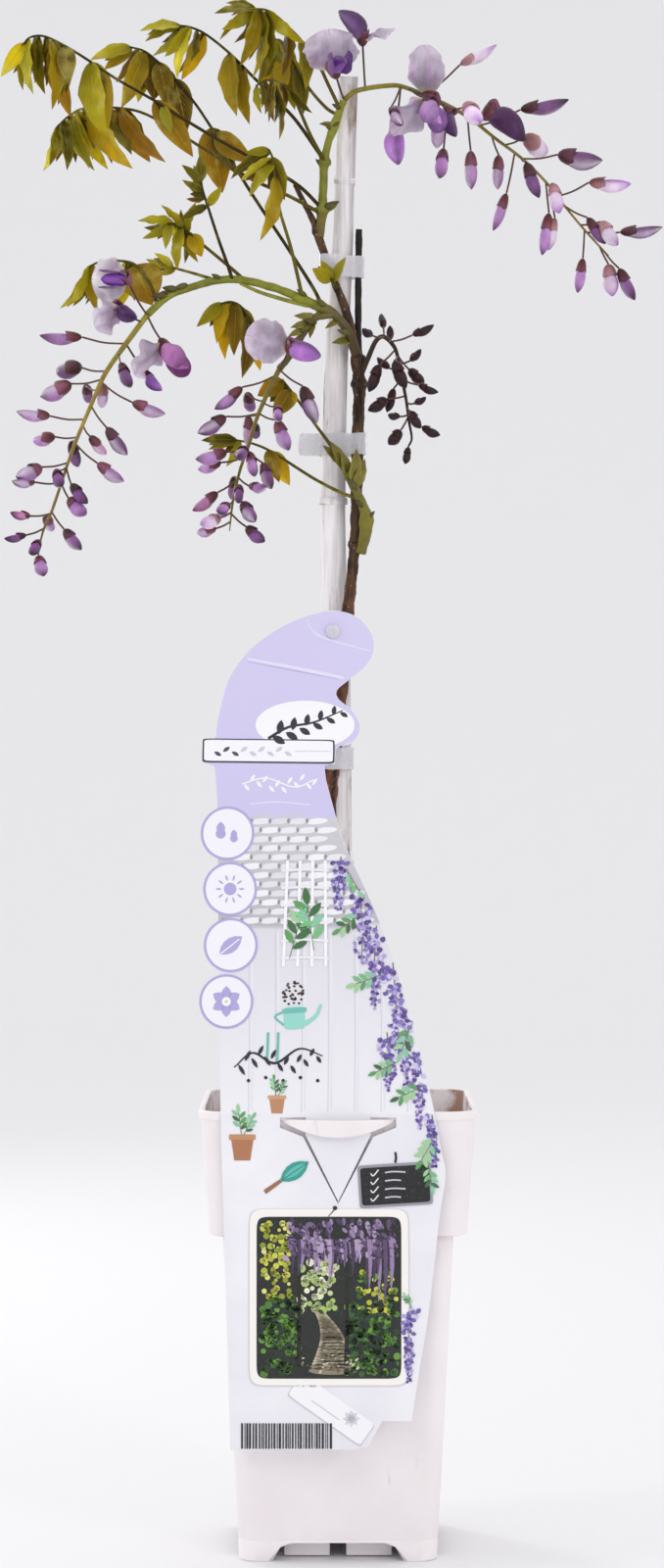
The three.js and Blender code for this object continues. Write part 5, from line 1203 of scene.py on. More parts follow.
# %% Racemes as laid out
RACEMES = {
    "raceme_left": {
        "rachis_colours": [(172, 166, 62), (164, 146, 64), (138, 106, 72)],
        "rachis": [
            [-97.4, -25, 625.2, 1.9], [-107.5, -29, 611.6, 1.8], [-118.1, -32, 596.6, 1.6],
            [-124, -34, 584, 1.45], [-132.5, -36, 564, 1.3], [-138.2, -37.5, 548.7, 1.1],
            [-145.8, -39, 526, 1], [-150.5, -40, 515, 0.8], [-153, -41, 503.5, 0.4],
        ],
        "stalk": (20, 7),
        "bud": (20, 13),
        "buds": [
            (610.4, -130.6, 614, -152.5, 614.1, 6.2), (605.4, -110.9, 600.7, -105.8, 588, 6, -1),
            (596.6, -131.9, 598.8, -143.6, 596.9, 8.6), (592.1, -136.2, 590.2, -152.2, 583.2, 8.5),
            (592, -119.7, 590, -120.6, 578, 5.8, 1), (590.7, -105, 580.7, -88, 574.1, 6.5),
            (586.3, -128.5, 589, -127, 581.5, 5.5, 1), (578.3, -118.2, 568, -107.5, 553.3, 6.5),
            (571.7, -146.8, 573.7, -164.2, 575.5, 6), (568.7, -126.5, 563.3, -118.2, 554, 5.5),
            (562.5, -145.2, 563.3, -155.5, 561.2, 6.5), (562, -136.2, 561, -132.5, 547.5, 6, 1),
            (559.7, -122.8, 549.7, -109.2, 539.7, 6.5), (549.5, -151.2, 547.7, -164.5, 542, 8),
            (546, -143.8, 546, -141.5, 537.7, 5.8, -1), (546, -136.2, 539, -127.7, 528.7, 6),
            (538.8, -154.8, 540, -166.5, 540.1, 5), (538, -137.5, 531.7, -128.5, 522.7, 7.3),
            (524.3, -139.8, 516, -130.8, 505, 6.3), (524, -149.2, 522.7, -145.8, 515.7, 5.5, 1),
            (523.5, -157.2, 522.7, -167.3, 524.3, 4.5), (516.3, -159.2, 513, -170.5, 510.8, 4.2),
            (511, -152.5, 510, -157, 503, 5.5, -1), (503.6, -153, 502.3, -150.2, 491.9, 6.5),
        ],
        "tones": "lddlwlddlpldllddlldlpddl",
        "flowers": [
            (
                625, (-107.5, -38, 643), (-0.95, -0.3, 0.05), (-0.3, 0.95, 0), 22, 0.8,
                False, "white", "purple",
            ),
            (
                625, (-89, -31, 610), (0.4, -0.6, -0.82), (-0.9, 0, -0.5), 27, 0.3,
                False, "pale", "magenta", 0.85,
            ),
            (621, (-111, -39, 629), (0.3, -0.8, -0.55), (-1, 0, -0.5), 19, 0.2, False, "pale", "dark", 0.95),
            (610, (-97, -25, 595), (0.35, -0.3, -0.9), (-1, 0.1, -0.1), 15, 0, False, None, "purple"),
        ],
    },
    "raceme_middle": {
        "rachis_colours": [(134, 124, 48), (128, 116, 48), (142, 136, 50)],
        "rachis": [
            [-30, -33, 597.5, 1.7], [-37, -37, 583, 1.5], [-42, -39.5, 571, 1.3], [-45.5, -41, 559, 1.15],
            [-50, -42, 546, 1], [-53.5, -43, 531, 0.9], [-55.3, -44, 515, 0.35],
        ],
        "stalk": (17, 6),
        "bud": (19, 13),
        "buds": [
            (602, -18.1, 589.1, -10.6, 569.8, 7.5, -1), (594.4, -48.8, 588.5, -63.1, 576.6, 6),
            (580.7, -46.2, 585, -44.1, 576.6, 5.8, 1), (580, -30.6, 578.5, -30.6, 571.6, 5, -1),
            (575, -57.2, 573.5, -71.6, 564.4, 7), (575, -31.2, 571.6, -25, 555.7, 7, -1),
            (575, -45.6, 574, -46, 558, 5.5, 1), (572, -41.9, 569.4, -41.9, 562.8, 4.5, 1),
            (557, -56.6, 555.4, -72.8, 551, 7, -1), (557, -46.9, 557, -51.9, 552.9, 6, -1),
            (556.5, -45, 555.4, -42.5, 542.6, 5.5, -1), (556, -38.4, 549.8, -33.8, 536.3, 6.5, -1),
            (552.4, -60, 550, -71.6, 546.3, 5.5), (543, -52.8, 542.9, -54.4, 531, 5, 1),
            (542.3, -45, 537.9, -36.3, 537.3, 5), (541, -61.3, 534.8, -74.4, 524.8, 6),
            (539, -50.3, 538.5, -50.9, 529.3, 5, -1), (535, -48.8, 529.8, -42.2, 519.4, 7),
            (530, -55.9, 528.5, -61.6, 524.8, 5.5), (524, -60, 521.9, -70.6, 518.5, 6.5),
            (523.2, -46.9, 517.3, -37.2, 509.1, 6.3), (519.1, -62.5, 516.3, -72.2, 514.1, 5),
        ],
        "tones": "dldldlpdldldldlpddlwdl",
        "flowers": [
            (
                597, (-24.5, -42, 608.5), (0.75, -0.62, -0.2), (-0.62, -0.75, 0.2), 23, -0.75,
                False, "grey", "rosy", 1.16, 0.8,
            ),
        ],
    },
    "raceme_right": {
        "rachis_colours": [(74, 58, 38), (54, 36, 32), (44, 26, 28)],
        "rachis": [
            [12, -5.5, 595, 1.8], [15.5, -10, 603.5, 1.7], [19.4, -12, 612, 1.6], [23.3, -13, 614.2, 1.5],
            [27.8, -14, 610.4, 1.4], [30.5, -15.5, 604.3, 1.2], [33.9, -17, 587.1, 1.1], [35, -18, 581, 1],
            [36.3, -18.5, 571, 0.9], [37.7, -19, 562.4, 0.75], [35.9, -19, 558, 0.65],
        ],
        "stalk": (12, 6),
        "bud": (12, 9.5),
        "buds": [
            (614, 23.3, 619.1, 22.1, 626, 4, 1), (612, 26.9, 613.2, 26.5, 619.9, 3.7, -1),
            (613.8, 17.2, 614.9, 12.5, 618.1, 4, -1), (611.4, 38, 615, 49.2, 619.9, 4.5),
            (607.4, 21.1, 600, 15.8, 585.7, 6, -1), (604.9, 36.1, 597.7, 44.2, 590.2, 5.5),
            (603.5, 28.8, 602, 34.8, 587.5, 6.5, -1), (600, 37.2, 602.1, 42.5, 607.7, 4),
            (597, 26.1, 598.2, 20, 603.5, 4, 1), (593.2, 28.6, 587.9, 25, 575.4, 4.5),
            (591.6, 41.1, 589.6, 51.4, 585.4, 4.2), (583.8, 25, 582.7, 15.3, 576, 6),
            (579.9, 39.4, 580.2, 45, 583.2, 3.5), (577.5, 36.9, 576.3, 42.2, 567.1, 5, -1),
            (575, 42.8, 568.2, 52.3, 563.5, 4.5, 1), (573.9, 31.4, 573.5, 25.6, 574.3, 3.5),
            (572.7, 32.2, 566.6, 25.8, 558.8, 6), (558.3, 36, 557.9, 34.4, 549.1, 3.9),
        ],
        "tones": "mmmmmmmmmmmmmmmmmm",
        "flowers": [],
    },
    "raceme_upper_right": {
        "rachis_colours": [(156, 154, 54), (152, 142, 54), (158, 136, 74)],
        "rachis": [
            [3.2, -8.6, 735, 1.8], [10, -8.5, 739.8, 1.7], [25.6, -7.5, 742.3, 1.6], [35, -6.5, 741.2, 1.5],
            [54, -5, 733.2, 1.4], [66.8, -3, 726.1, 1.25], [80.3, 0, 715.4, 1.1], [94.6, 3, 704.6, 1],
            [107.4, 5, 691.8, 0.9], [115, 7, 681.8, 0.8], [126, 10, 668.6, 0.75], [138, 13, 655.5, 0.65],
        ],
        "stalk": (18, 8),
        "bud": (20, 16),
        "buds": [
            (742, 27, 731, 33, 722, 5.5, -1), (737.2, 62.4, 753, 81.2, 762.6, 5.5, 1),
            (735.6, 51.8, 727.9, 50.6, 710.1, 7.5, 1), (732, 54, 710.1, 51.8, 694.8, 6.5, -1),
            (730.4, 65.6, 732.6, 72.4, 723.6, 9, -1), (726.5, 67.8, 709.2, 68.1, 689.2, 6.5),
            (721.3, 93.1, 730, 118.1, 734.3, 7, -1), (716, 82.1, 707, 81.5, 689.1, 6),
            (711.3, 95.6, 716.2, 107, 707.5, 9.5, 1), (707.8, 86.1, 687.5, 79.2, 667.9, 5.5),
            (706, 96, 703.2, 102.8, 684.6, 7, -1), (704.6, 112.1, 707.1, 135.3, 703.2, 9.5),
            (693, 107.8, 677.4, 104.2, 655.5, 6, -1), (692, 109.6, 692.4, 113.1, 676.9, 7, -1),
            (691, 110.8, 675, 107.5, 658, 5, 1), (685.5, 128.1, 692.9, 149.9, 691.4, 6.8),
            (680, 127.4, 675, 136.7, 661, 5.5, 1), (671, 134.2, 672.9, 143, 660.4, 7.5, -1),
            (668.6, 125.1, 654.3, 122.3, 636.3, 5.3), (667.5, 143.9, 667.5, 165.9, 669.3, 6, 1),
            (659.3, 138.1, 651.4, 140.3, 634.6, 7.5, -1), (657.3, 143.5, 649.1, 151.7, 632.4, 6.2, 1),
        ],
        "tones": "lwllwldlwlddlwwwdwldwd",
        "flowers": [
            (
                740.5, (12.5, -9, 766), (-0.35, -0.12, 0.95), (0.95, 0, 0.3), 25, -0.12,
                True, "grey", "dark", 0.75,
            ),
            (
                735, (-1.5, -19, 749), (0.15, -0.75, 0.55), (-0.2, 0.3, 1), 26, 0.4,
                True, "grey", "purple", 0.92, 1.15,
            ),
            (
                741, (46, -14, 737), (-0.1, -0.85, -0.5), (-0.08, -0.35, 1), 25, -0.35,
                False, "grey", None, 1.16, 0.62,
            ),
            (
                740, (46, -19, 735), (0.06, -0.62, -0.78), (-0.75, -0.1, -0.8), 26, 0.5,
                False, "pale", "bright", 1.05, 0.8,
            ),
            (742, (29.5, -13, 720), (-0.15, -0.35, -1), (-0.6, -0.7, 0.1), 24, 0, False, None, "bright"),
            (722, (77, -6, 728), (0.94, -0.28, -0.3), (0.3, -0.2, 0.9), 31, 0, False, None, "plum"),
            (734, (56, -9, 730), (-0.05, -0.3, -1), (-1, 0.1, 0), 20, 0, False, None, "dark"),
        ],
    },
}
# The colours of a bud's calyx, petals and tip, by letter.
BUD_TONES = {
    "l": ((124, 64, 66), (196, 150, 208), (74, 38, 74)),
    "d": ((88, 44, 46), (138, 92, 146), (44, 20, 44)),
    "w": ((188, 134, 132), (255, 238, 255), (166, 110, 194)),
    "p": ((112, 58, 58), (208, 146, 190), (84, 40, 70)),
    "m": ((62, 22, 20), (56, 22, 32), (14, 5, 10)),
}
PETAL_TONES = {
    "white": (255, 246, 255), "pale": (246, 228, 252), "grey": (228, 210, 236), "purple": (164, 98, 206),
    "bright": (230, 170, 255), "rosy": (206, 142, 236), "magenta": (222, 122, 216), "dark": (98, 50, 120),
    "plum": (86, 40, 90),
}
# Flowers of these colours are still closed: their wings are folded round the keel.
CLOSED_TONES = ("dark", "rosy")
print(sum(len(spec["buds"]) for spec in RACEMES.values()), "buds on", len(RACEMES), "racemes")

# %% Buds
BUD_SIDES = 16


def stalk_tube(root, neck, radius):
    """A slightly sagging thin tube from root to neck."""
    drop = np.array([0, 0, -0.05 * np.linalg.norm(neck - root)])
    line = smooth([root, (root + neck) / 2 + drop, neck], 9)
    hint = UP if abs(unit(neck - root)[1]) > 0.8 else DEPTH
    tints = shaded([(122, 108, 52), (104, 72, 58), (116, 66, 68)], 11)
    return tube(line, np.full(9, radius), 8, tints, hint)


# How far round from the painted highlight streak the painted shade streak lies, in radians.
SHADOW_AFTER = 1.9


def with_painted_light_streaks(rows, angles, pale, deep, gleam_at, strength):
    """Tints for rows and columns: a streak of painted highlight at one angle and one of painted shade
    further round.
    """
    for colour, centre, share in ((pale, gleam_at, 1.3), (deep, gleam_at + SHADOW_AFTER, 1.5)):
        streak = np.minimum(1, share * strength * np.exp(6 * (np.cos(angles - centre) - 1)))
        rows = mix(rows, np.array(linear(*colour)), streak[None, :, None])
    return rows


def calyx_cup(neck, axis, length, width, tone, seed):
    """A bell with a softly lobed rim that turns back inside: radius from a third to the full width."""
    a = all_round(BUD_SIDES)
    shares = np.array([0, 0.03, 0.1, 0.2, 0.3, 0.37, 0.32])[:, None]
    lobes = 0.03 * np.cos(3 * a + 6 * draw(seed)) * np.array([0, 0, 0, 0.2, 0.6, 1, 0.8])[:, None]
    radii = np.array([0, 0.38, 0.7, 0.9, 1.0, 1.06, 0.8])
    grid = turned(neck, axis, (shares + lobes) * length, radii * width / 2, BUD_SIDES, 1.1)
    cup, body, end = BUD_TONES[tone]
    rosy = tuple(c + 10 for c in towards(cup, body, 0.35))
    rows = shaded([dimmed(cup, 0.62), cup, rosy], 7)
    # The calyx gets a streak of painted highlight and one of painted shade.
    return surface(in_place(grid), with_painted_light_streaks(rows, a, rosy, dimmed(cup, 0.5), 6 * draw(seed + 0.8), 0.5))


def bud(root, neck, tip, width, tone, seed):
    """Stalk, calyx and folded petals, which swell to the width, close in a point and curve up a little."""
    length = np.linalg.norm(tip - neck)
    axis = (tip - neck) / length
    t = np.array([0.16, 0.26, 0.36, 0.46, 0.57, 0.68, 0.79, 0.89, 0.96, 1.0])
    radii = np.array([0.55, 0.74, 0.9, 1.0, 1.0, 0.92, 0.74, 0.46, 0.22, 0])
    a = all_round(BUD_SIDES)
    free = np.clip(4 * t - 1.4, 0, 1)[:, None]
    keel = 1 + free * (0.08 * np.cos(2 * a + 6 * draw(seed)) - 0.12 * np.exp(6 * (np.cos(a - 4.7) - 1)))
    petals = turned(neck, axis, t * length, radii[:, None] * keel * width / 2, BUD_SIDES, 1.1)
    petals[..., 2] -= (0.06 * np.sin(np.pi * t) * length - 0.04 * abs(axis[0]) * length * t**3)[:, None]
    body, end = BUD_TONES[tone][1:]
    lively = mix(0.86, 1.3, draw(seed + 0.4))
    pale = body if tone == "m" else paler(body, 0.75, 252)
    rows = shaded([towards(body, pale, 0.35), body, body, towards(body, end, 0.5), end], 10) * lively
    # The petals get a streak of painted highlight and one of painted shade.
    return [
        stalk_tube(root, neck, 0.5),
        calyx_cup(neck, axis, length, width * 0.98, tone, seed),
        surface(in_place(petals), with_painted_light_streaks(rows, a, pale, end, 1.2 + 4 * draw(seed + 0.8), 0.7)),
    ]


print("the colour letters of buds are", *BUD_TONES)

# %% Open flowers
FLOWER = {"banner_long": 0.94, "banner_broad": 1.04, "wing_long": 0.76, "wing_broad": 0.42, "droop": 0.2}


def keel_body(base, way, across, size, wing, seed, fat):
    """The closed plump body of keel and folded wings, like a small boat: flat sideways and bent upwards."""
    t = np.array([0, 0.04, 0.12, 0.24, 0.38, 0.52, 0.66, 0.79, 0.9, 0.97, 1.0])
    radii = np.array([0.2, 0.42, 0.7, 0.92, 1.0, 0.98, 0.9, 0.72, 0.45, 0.2, 0]) * size * 0.24 * fat
    a = all_round(20)
    seam = 1 - 0.12 * np.exp(8 * (np.cos(a - 1.57) - 1)) - 0.1 * np.exp(8 * (np.cos(a + 2.2) - 1))
    body = turned(base, way, t * size * FLOWER["wing_long"], radii[:, None] * seam, 20, 1.0, across * 0.72)
    top = unit(np.cross(way, across))
    body += (size * (0.1 * t**2 - 0.06 * np.sin(np.pi * t)))[:, None, None] * top
    colour = PETAL_TONES[wing]
    pale, deep = paler(colour, 0.4), dimmed(colour, 0.5)
    rows = shaded([pale, colour, colour, deep], 11)
    # A streak of painted highlight and one of painted shade run along the keel.
    return surface(in_place(body), with_painted_light_streaks(rows, a, pale, deep, 1.2 + 3 * draw(seed), 0.55))


def open_flower(root, flower, seed):
    """Calyx, a notched and ruffled banner, and two wings along the keel. Some have no banner or no wings."""
    base, faces, up = (np.array(way, float) for way in flower[1:4])
    size, nod = flower[4:6]
    banner, wing, *shares = flower[7:]
    long, broad = (*shares, 1, 1)[:2]
    faces = unit(faces)
    up = unit(up - faces * (up @ faces))
    across = np.cross(faces, up)
    stalk_way = unit(base - root)
    parts = [stalk_tube(root, base - stalk_way * size * 0.12, 0.55)]
    parts.append(calyx_cup(base - stalk_way * size * 0.16, stalk_way, size * 0.95, size * 0.3, "l", seed))
    if banner:
        pale, deep = linear(*paler(PETAL_TONES[banner], 0.5)), linear(*dimmed(PETAL_TONES[banner], 0.7))
        way = unit(up + faces * nod)
        # lean paints shade on one half of the banner and light on the other.
        parts.append(blade(
            base, way, blade_frame(way, across, -faces), size * long * FLOWER["banner_long"],
            size * long * broad * FLOWER["banner_broad"], banner_outline, 0.2, -0.08,
            tint=deep, tip_tint=pale, edge_tint=pale, edge=0.6, foot_tint=linear(214, 206, 140),
            lean=0.3 * (draw(seed + 0.2) - 0.5), ruffle=0.32, waves=1.7, phase=draw(seed), scallop=0.035,
            pleat=0.11, notch=0.17, curl=0.1, thick=0.35, rows=31, sides=40,
        ))
    if not wing:
        return parts
    closed = not banner or wing in CLOSED_TONES
    keel_way = unit(faces - up * FLOWER["droop"])
    parts.append(keel_body(base, keel_way, across, size, wing, seed, 1.3 if closed else 0.9))
    light, deep = linear(*paler(PETAL_TONES[wing], 0.3)), linear(*dimmed(PETAL_TONES[wing], 0.6))
    for s in () if closed else (-1, 1):
        foot = base + s * across * size * 0.1
        spread = unit(keel_way + s * across * 0.14)
        parts.append(blade(
            foot, spread, blade_frame(spread, up, -s * across), size * FLOWER["wing_long"],
            size * FLOWER["wing_broad"], wing_outline, 0.25, -0.08, tint=light, tip_tint=deep,
            edge_tint=deep, edge=0.5, ruffle=0.12, waves=1.2, phase=draw(seed + s), rows=17, sides=18,
        ))
    return parts


print(len(PETAL_TONES), "petal colours")

# %% Raceme surfaces
def at_height(line, z, rising=False):
    """The rachis's point at a height, on its falling part unless rising is meant."""
    ordered = line if rising else line[::-1]
    reached = np.flatnonzero(ordered[:, 2] >= z)
    return ordered[reached[0]] if len(reached) else line[0]


def reach_to(start, x, z, full, side):
    """The point that shows at x and z and is a full length away from start, before or behind it."""
    hidden = math.sqrt(max(full**2 - (x - start[0]) ** 2 - (z - start[2]) ** 2, 0))
    return np.array([x, start[1] + side * hidden, z])


RACHIS_ROWS = 60
RACHIS_THIN = 0.78


def raceme(spec, seed):
    """The surfaces of a raceme: its rachis, then every bud and every open flower."""
    line = smooth(spec["rachis"], 121)
    rachis = smooth(spec["rachis"], RACHIS_ROWS)
    colours = shaded(spec["rachis_colours"], RACHIS_ROWS + 2)
    parts = [tube(rachis[:, :3], RACHIS_THIN * rachis[:, 3], 12, colours)]
    last = len(spec["buds"]) - 1
    for k, (height, neck_x, neck_z, tip_x, tip_z, width, *side) in enumerate(spec["buds"]):
        facing = side[0] if side else (-1 if draw(seed + k) < 0.5 else 1)
        root = at_height(line[:, :3], height)
        neck = reach_to(root, neck_x, neck_z, mix(*spec["stalk"], k / last), facing)
        tip = reach_to(neck, tip_x, tip_z, mix(*spec["bud"], k / last), facing)
        parts += bud(root, neck, tip, width, spec["tones"][k], seed + k)
    for k, flower in enumerate(spec["flowers"]):
        parts += open_flower(at_height(line[:, :3], flower[0], flower[6]), flower, seed + 70 + k)
    return parts


for k, (name, spec) in enumerate(RACEMES.items()):
    make_piece(name.replace("raceme", "blossom"), raceme(spec, 5000 + 200 * k), petal_finish, [name])

# %% [markdown]
# ## Ties and push pin
#
# A tie is a strip of clear tape pulled round the stems. Its outline is the tight band round their circles:
# in each direction a from the middle, the band's distance is the least of h(b) / cos(b - a), where h(b) is
# how far the circles reach in direction b. The pin is a turned profile.

# %% Ties
TIE_TALL = 11
TIE_OUTSIDE, TIE_INSIDE = 0.85, 0.65
LOOSE_END = {"way": (-1.0, 0.25, 0.02), "long": 13, "wide": 11.5}
TIES = {
    "tie_upper": (644, [[1.7, 2, 5.7], [10.6, -1, 1.9], [-2.3, -8.6, 2.2], [-6.2, -8.6, 2.2]]),
    "tie_middle": (553.5, [[-2.1, 2, 6.5], [10, -5, 3.2]]),
    "tie_lower": (393.5, [[0, 2, 7.1], [-2.7, -12.4, 4.8]]),
}
tape, tree, shader = finish("clear_tape", (228, 226, 232), 0.22, Alpha=0.55, Coat_Weight=0.6)
crumple = noise(tree, 240, (1, 1, 2.0), 3.0)
bump(tree, shader, crumple, 0.6)
rough_from(tree, shader, crumple, 0.12, 0.35)


def tight_band(holds, extra, angles):
    """Where the band round the circles lies in each direction from their middle, as (n, 2)."""
    holds = np.array(holds, float)
    middle = holds[:, :2].mean(0)
    b = all_round(360)
    normal = np.stack([np.cos(b), np.sin(b)])
    reach = ((holds[:, :2] - middle) @ normal + holds[:, 2:3] + extra).max(0)
    facing = np.cos(b[None] - angles[:, None])
    distance = np.where(facing > 0.02, reach / np.maximum(facing, 0.02), 1e6).min(1)
    return middle + distance[:, None] * np.stack([np.cos(angles), np.sin(angles)], -1)


def tie_surface(foot, holds, seed):
    """A thin closed strip: up the outside, over and down the inside, crumpled a little."""
    angles = all_round(96)
    up = np.linspace(0, 1, 12)
    walls = [(TIE_OUTSIDE, u) for u in up] + [(TIE_INSIDE, u) for u in up[::-1]] + [(TIE_OUTSIDE, 0)]
    grid = np.zeros((len(walls), len(angles), 3))
    for k, (extra, u) in enumerate(walls):
        grid[k, :, :2] = tight_band(holds, extra, angles)
        grid[k, :, 2] = foot + TIE_TALL * u
    flat = grid.mean((0, 1))
    grid[..., :2] += (grid[..., :2] - flat[:2]) * (0.035 * ripple(grid, 6, seed) + 0.02)[..., None]
    grid[..., 2] += 0.5 * ripple(grid, 14, seed + 5)
    return surface(grid, 1.0)


for k, (name, (foot, holds)) in enumerate(TIES.items()):
    strips = [tie_surface(foot, holds, 20 * k)]
    if name == "tie_middle":
        along = unit(np.array(LOOSE_END["way"]))
        strips.append(blade(
            np.array([-7.5, 5.5, foot + TIE_TALL / 2]), along, blade_frame(along, UP, -DEPTH),
            LOOSE_END["long"], LOOSE_END["wide"], lambda t: rounded(t, 0.5, 14), 0, 0.06,
            ruffle=0.25, waves=1.6, pleat=0.08, thick=0.3,
        ))
    make_piece(name.replace("tie", "tape"), strips, tape, [name], sharp=60)

# %% Card depth and push pin
CARD_LEAN = np.array([
    [56, -75], [115, -72.6], [170, -70.8], [225, -69.95], [262, -66.5], [310, -57.5], [370, -42],
    [430, -26], [478, -17.2],
], float)
CARD_THICK = 0.8
PIN = {"x": -2.5, "z": 463, "shaft": 1, "head_thick": 1.6, "head_gap": 1, "end": -4.8}


def card_depth(z):
    """The depth of the card's middle at a height, along a smooth line through its lean."""
    line = smooth(CARD_LEAN, 400)
    return np.interp(z, line[:, 0], line[:, 1])


pin_plastic, tree, shader = finish("clear_pin_plastic", (232, 230, 236), 0.12, Alpha=0.6, Coat_Weight=1.0)
rough_from(tree, shader, noise(tree, 500), 0.08, 0.2)
start = card_depth(PIN["z"]) - CARD_THICK / 2 - PIN["head_thick"] - PIN["head_gap"]
profile = [
    (0, -0.6), (0.5, -0.55), (1.4, -0.5), (2.1, -0.35), (2.9, 0.1), (3.4, 0.5), (3.6, 0.9), (3.6, 1.3),
    (3.45, 1.6), (3.0, 1.7), (1.1, 1.7), (1.0, 1.9), (1.0, PIN["end"] - 1 - start), (0, PIN["end"] - start),
]
radii, distances = (np.array([p[k] for p in profile]) for k in (0, 1))
foot = np.array([PIN["x"], start, PIN["z"]])
pin_grid = turned(foot, DEPTH, distances, radii, 40)
make_piece("clear_push_pin", [surface(pin_grid, 1.0)], pin_plastic, ["push_pin"], sharp=40)

# %% [markdown]
# ## The card
#
# The card is a flat outline with two slots for the strap and a hole for the pin, given a thickness and then
# bent to its lean. Its outline mixes straight runs and smooth ones, like the die that cut it, and bulges
# round four badges at the left.

# %% Card outline
CARD_RIGHT_EDGE = [
    [39.8, 99], [44.5, 128], [49.8, 174], [52.7, 194], [50.5, 207], [46.8, 227], [41.5, 251], [35.5, 275],
    [27.5, 299], [19.3, 321], [9.7, 342.5], [3, 356], [-2.5, 375], [-6, 388],
]
CARD_CREST = [
    [7.4, 407], [11.3, 414.4], [7.4, 422.6], [0.5, 428.5], [-0.5, 433], [5, 438], [13.2, 444.5],
    [17.8, 452], [17.4, 461], [10.8, 469.6], [0, 473.4], [-12, 472], [-27, 466], [-43, 455], [-54.5, 440],
    [-60, 421], [-61.6, 409],
]
BADGES = [(-55, 279), (-53, 306.5), (-53.5, 334), (-55, 361.5)]
BADGE_RADIUS = 13.5
SLOT = [
    [16, 222.5], [28.5, 222.5], [28.5, 217.5], [17.2, 213], [0.55, 181.2], [0, 180], [-0.14, 181.2],
    [16, 214],
]
CARD_CUTS = np.arange(62.0, 474, 4)


right_edge = smooth([[36, 74.4], *CARD_RIGHT_EDGE], 90)
crest = smooth([[-1.2, 404.5], *CARD_CREST], 110)


def card_outline():
    """The outline without the badges, anticlockwise from the bottom left."""
    left = [[-67.5, 408.8], [-68.3, 397], [-62, 396], [-60.5, 379], [-57.5, 215]]
    feet = [[-52.7, 60.5], [7.7, 60.5], [14.8, 62], [21.5, 74.4]]
    return np.vstack([feet, right_edge, [[-7, 396], [-1.5, 396]], crest, left])


def around(x, z, radius, angles):
    """The points at these angles on a circle."""
    return np.stack([x + radius * np.cos(angles), z + radius * np.sin(angles)], -1)


def with_badges(outline):
    """The outline with each badge's arc put in where the outline passes through its circle."""
    for x, z in BADGES:
        fine = []
        for p, q in zip(outline, np.roll(outline, -1, 0)):
            steps = max(1, int(math.dist(p, q) / 0.5)) if p[0] < -50 and q[0] < -50 else 1
            fine += [mix(p, q, k / steps) for k in range(steps)]
        fine = np.array(fine)
        inside = np.flatnonzero(np.hypot(fine[:, 0] - x, fine[:, 1] - z) < BADGE_RADIUS)
        ends = fine[[inside[0], inside[-1]]]
        enter, leave = np.arctan2(ends[:, 1] - z, ends[:, 0] - x) % (2 * np.pi)
        arc = around(x, z, BADGE_RADIUS, np.linspace(enter, leave, 40))
        outline = np.vstack([fine[: inside[0]], arc, fine[inside[-1] + 1 :]])
    return outline


def bent_sheet(name, loops, thick):
    """A flat sheet with the loops as outline and holes, cut across at many heights and bent to the lean."""
    curve = bpy.data.curves.new(name, "CURVE")
    curve.dimensions = "2D"
    curve.fill_mode = "BOTH"
    curve.extrude = thick / 2
    for loop in loops:
        spline = curve.splines.new("POLY")
        spline.points.add(len(loop) - 1)
        spline.points.foreach_set("co", np.column_stack([loop, 0 * loop[:, 0], 1 + 0 * loop[:, 0]]).ravel())
        spline.use_cyclic_u = True
    holder = add_object(name, curve)
    mesh = bpy.data.meshes.new_from_object(holder.evaluated_get(bpy.context.evaluated_depsgraph_get()))
    bpy.data.objects.remove(holder)
    cut = bmesh.new()
    cut.from_mesh(mesh)
    bmesh.ops.remove_doubles(cut, verts=cut.verts, dist=WELD_WITHIN / MM)
    for height in CARD_CUTS:
        everything = cut.verts[:] + cut.edges[:] + cut.faces[:]
        bmesh.ops.bisect_plane(cut, geom=everything, plane_co=(0, height, 0), plane_no=(0, 1, 0))
    cut.to_mesh(mesh)
    cut.free()
    co = np.zeros(len(mesh.vertices) * 3)
    mesh.vertices.foreach_get("co", co)
    co = co.reshape(-1, 3)
    bent = np.stack([co[:, 0], card_depth(co[:, 1]) - co[:, 2], co[:, 1]], -1)
    mesh.vertices.foreach_set("co", in_metres(bent).ravel())
    mesh.update()
    return mesh


outline = with_badges(card_outline())
slots = [np.array(SLOT) * [s, 1] for s in (-1, 1)]
pin_hole = around(PIN["x"], PIN["z"], PIN["shaft"] + 0.3, all_round(20))
card_mesh = bent_sheet("card_body", [outline, *slots, pin_hole], CARD_THICK)
card_stock, tree, shader = finish("white_card_stock", (243, 242, 247), 0.5)
fibre = noise(tree, 900, detail=2.0)
cloudy = two_tone(tree, noise(tree, 22), 0.3, 0.7, (245, 244, 249), (232, 230, 239))
colour_from(tree, shader, cloudy)
rough_from(tree, shader, fibre, 0.42, 0.58)
bump(tree, shader, fibre, 0.03)
card_mesh.materials.append(card_stock)
card_body = add_object("card_body", card_mesh)
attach(card_body, "root")
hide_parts("hang_card")
print("card_body", len(card_mesh.polygons), "faces")

# %% [markdown]
# ## The print on the card
#
# The print is a collage of thin coloured flakes laid on the card, each layer a hair in front of the last, so
# it stays sharp at any distance and needs no picture. Fields follow the card's edges, patches are outlines
# filled to their centre, and strokes are ribbons along a line. Everything is a garden motif without words.

# %% Print shapes
FLAKE_GAP, LAYER_GAP, FLAKE_THICK = 0.07, 0.06, 0.04
FIELD_INSET = 0.25


def on_card(flat, layer):
    """Flat x and z brought to the card's front, further out for each layer."""
    y = card_depth(flat[..., 1]) - CARD_THICK / 2 - FLAKE_GAP - LAYER_GAP * layer
    return np.stack([flat[..., 0], y, flat[..., 1]], -1)


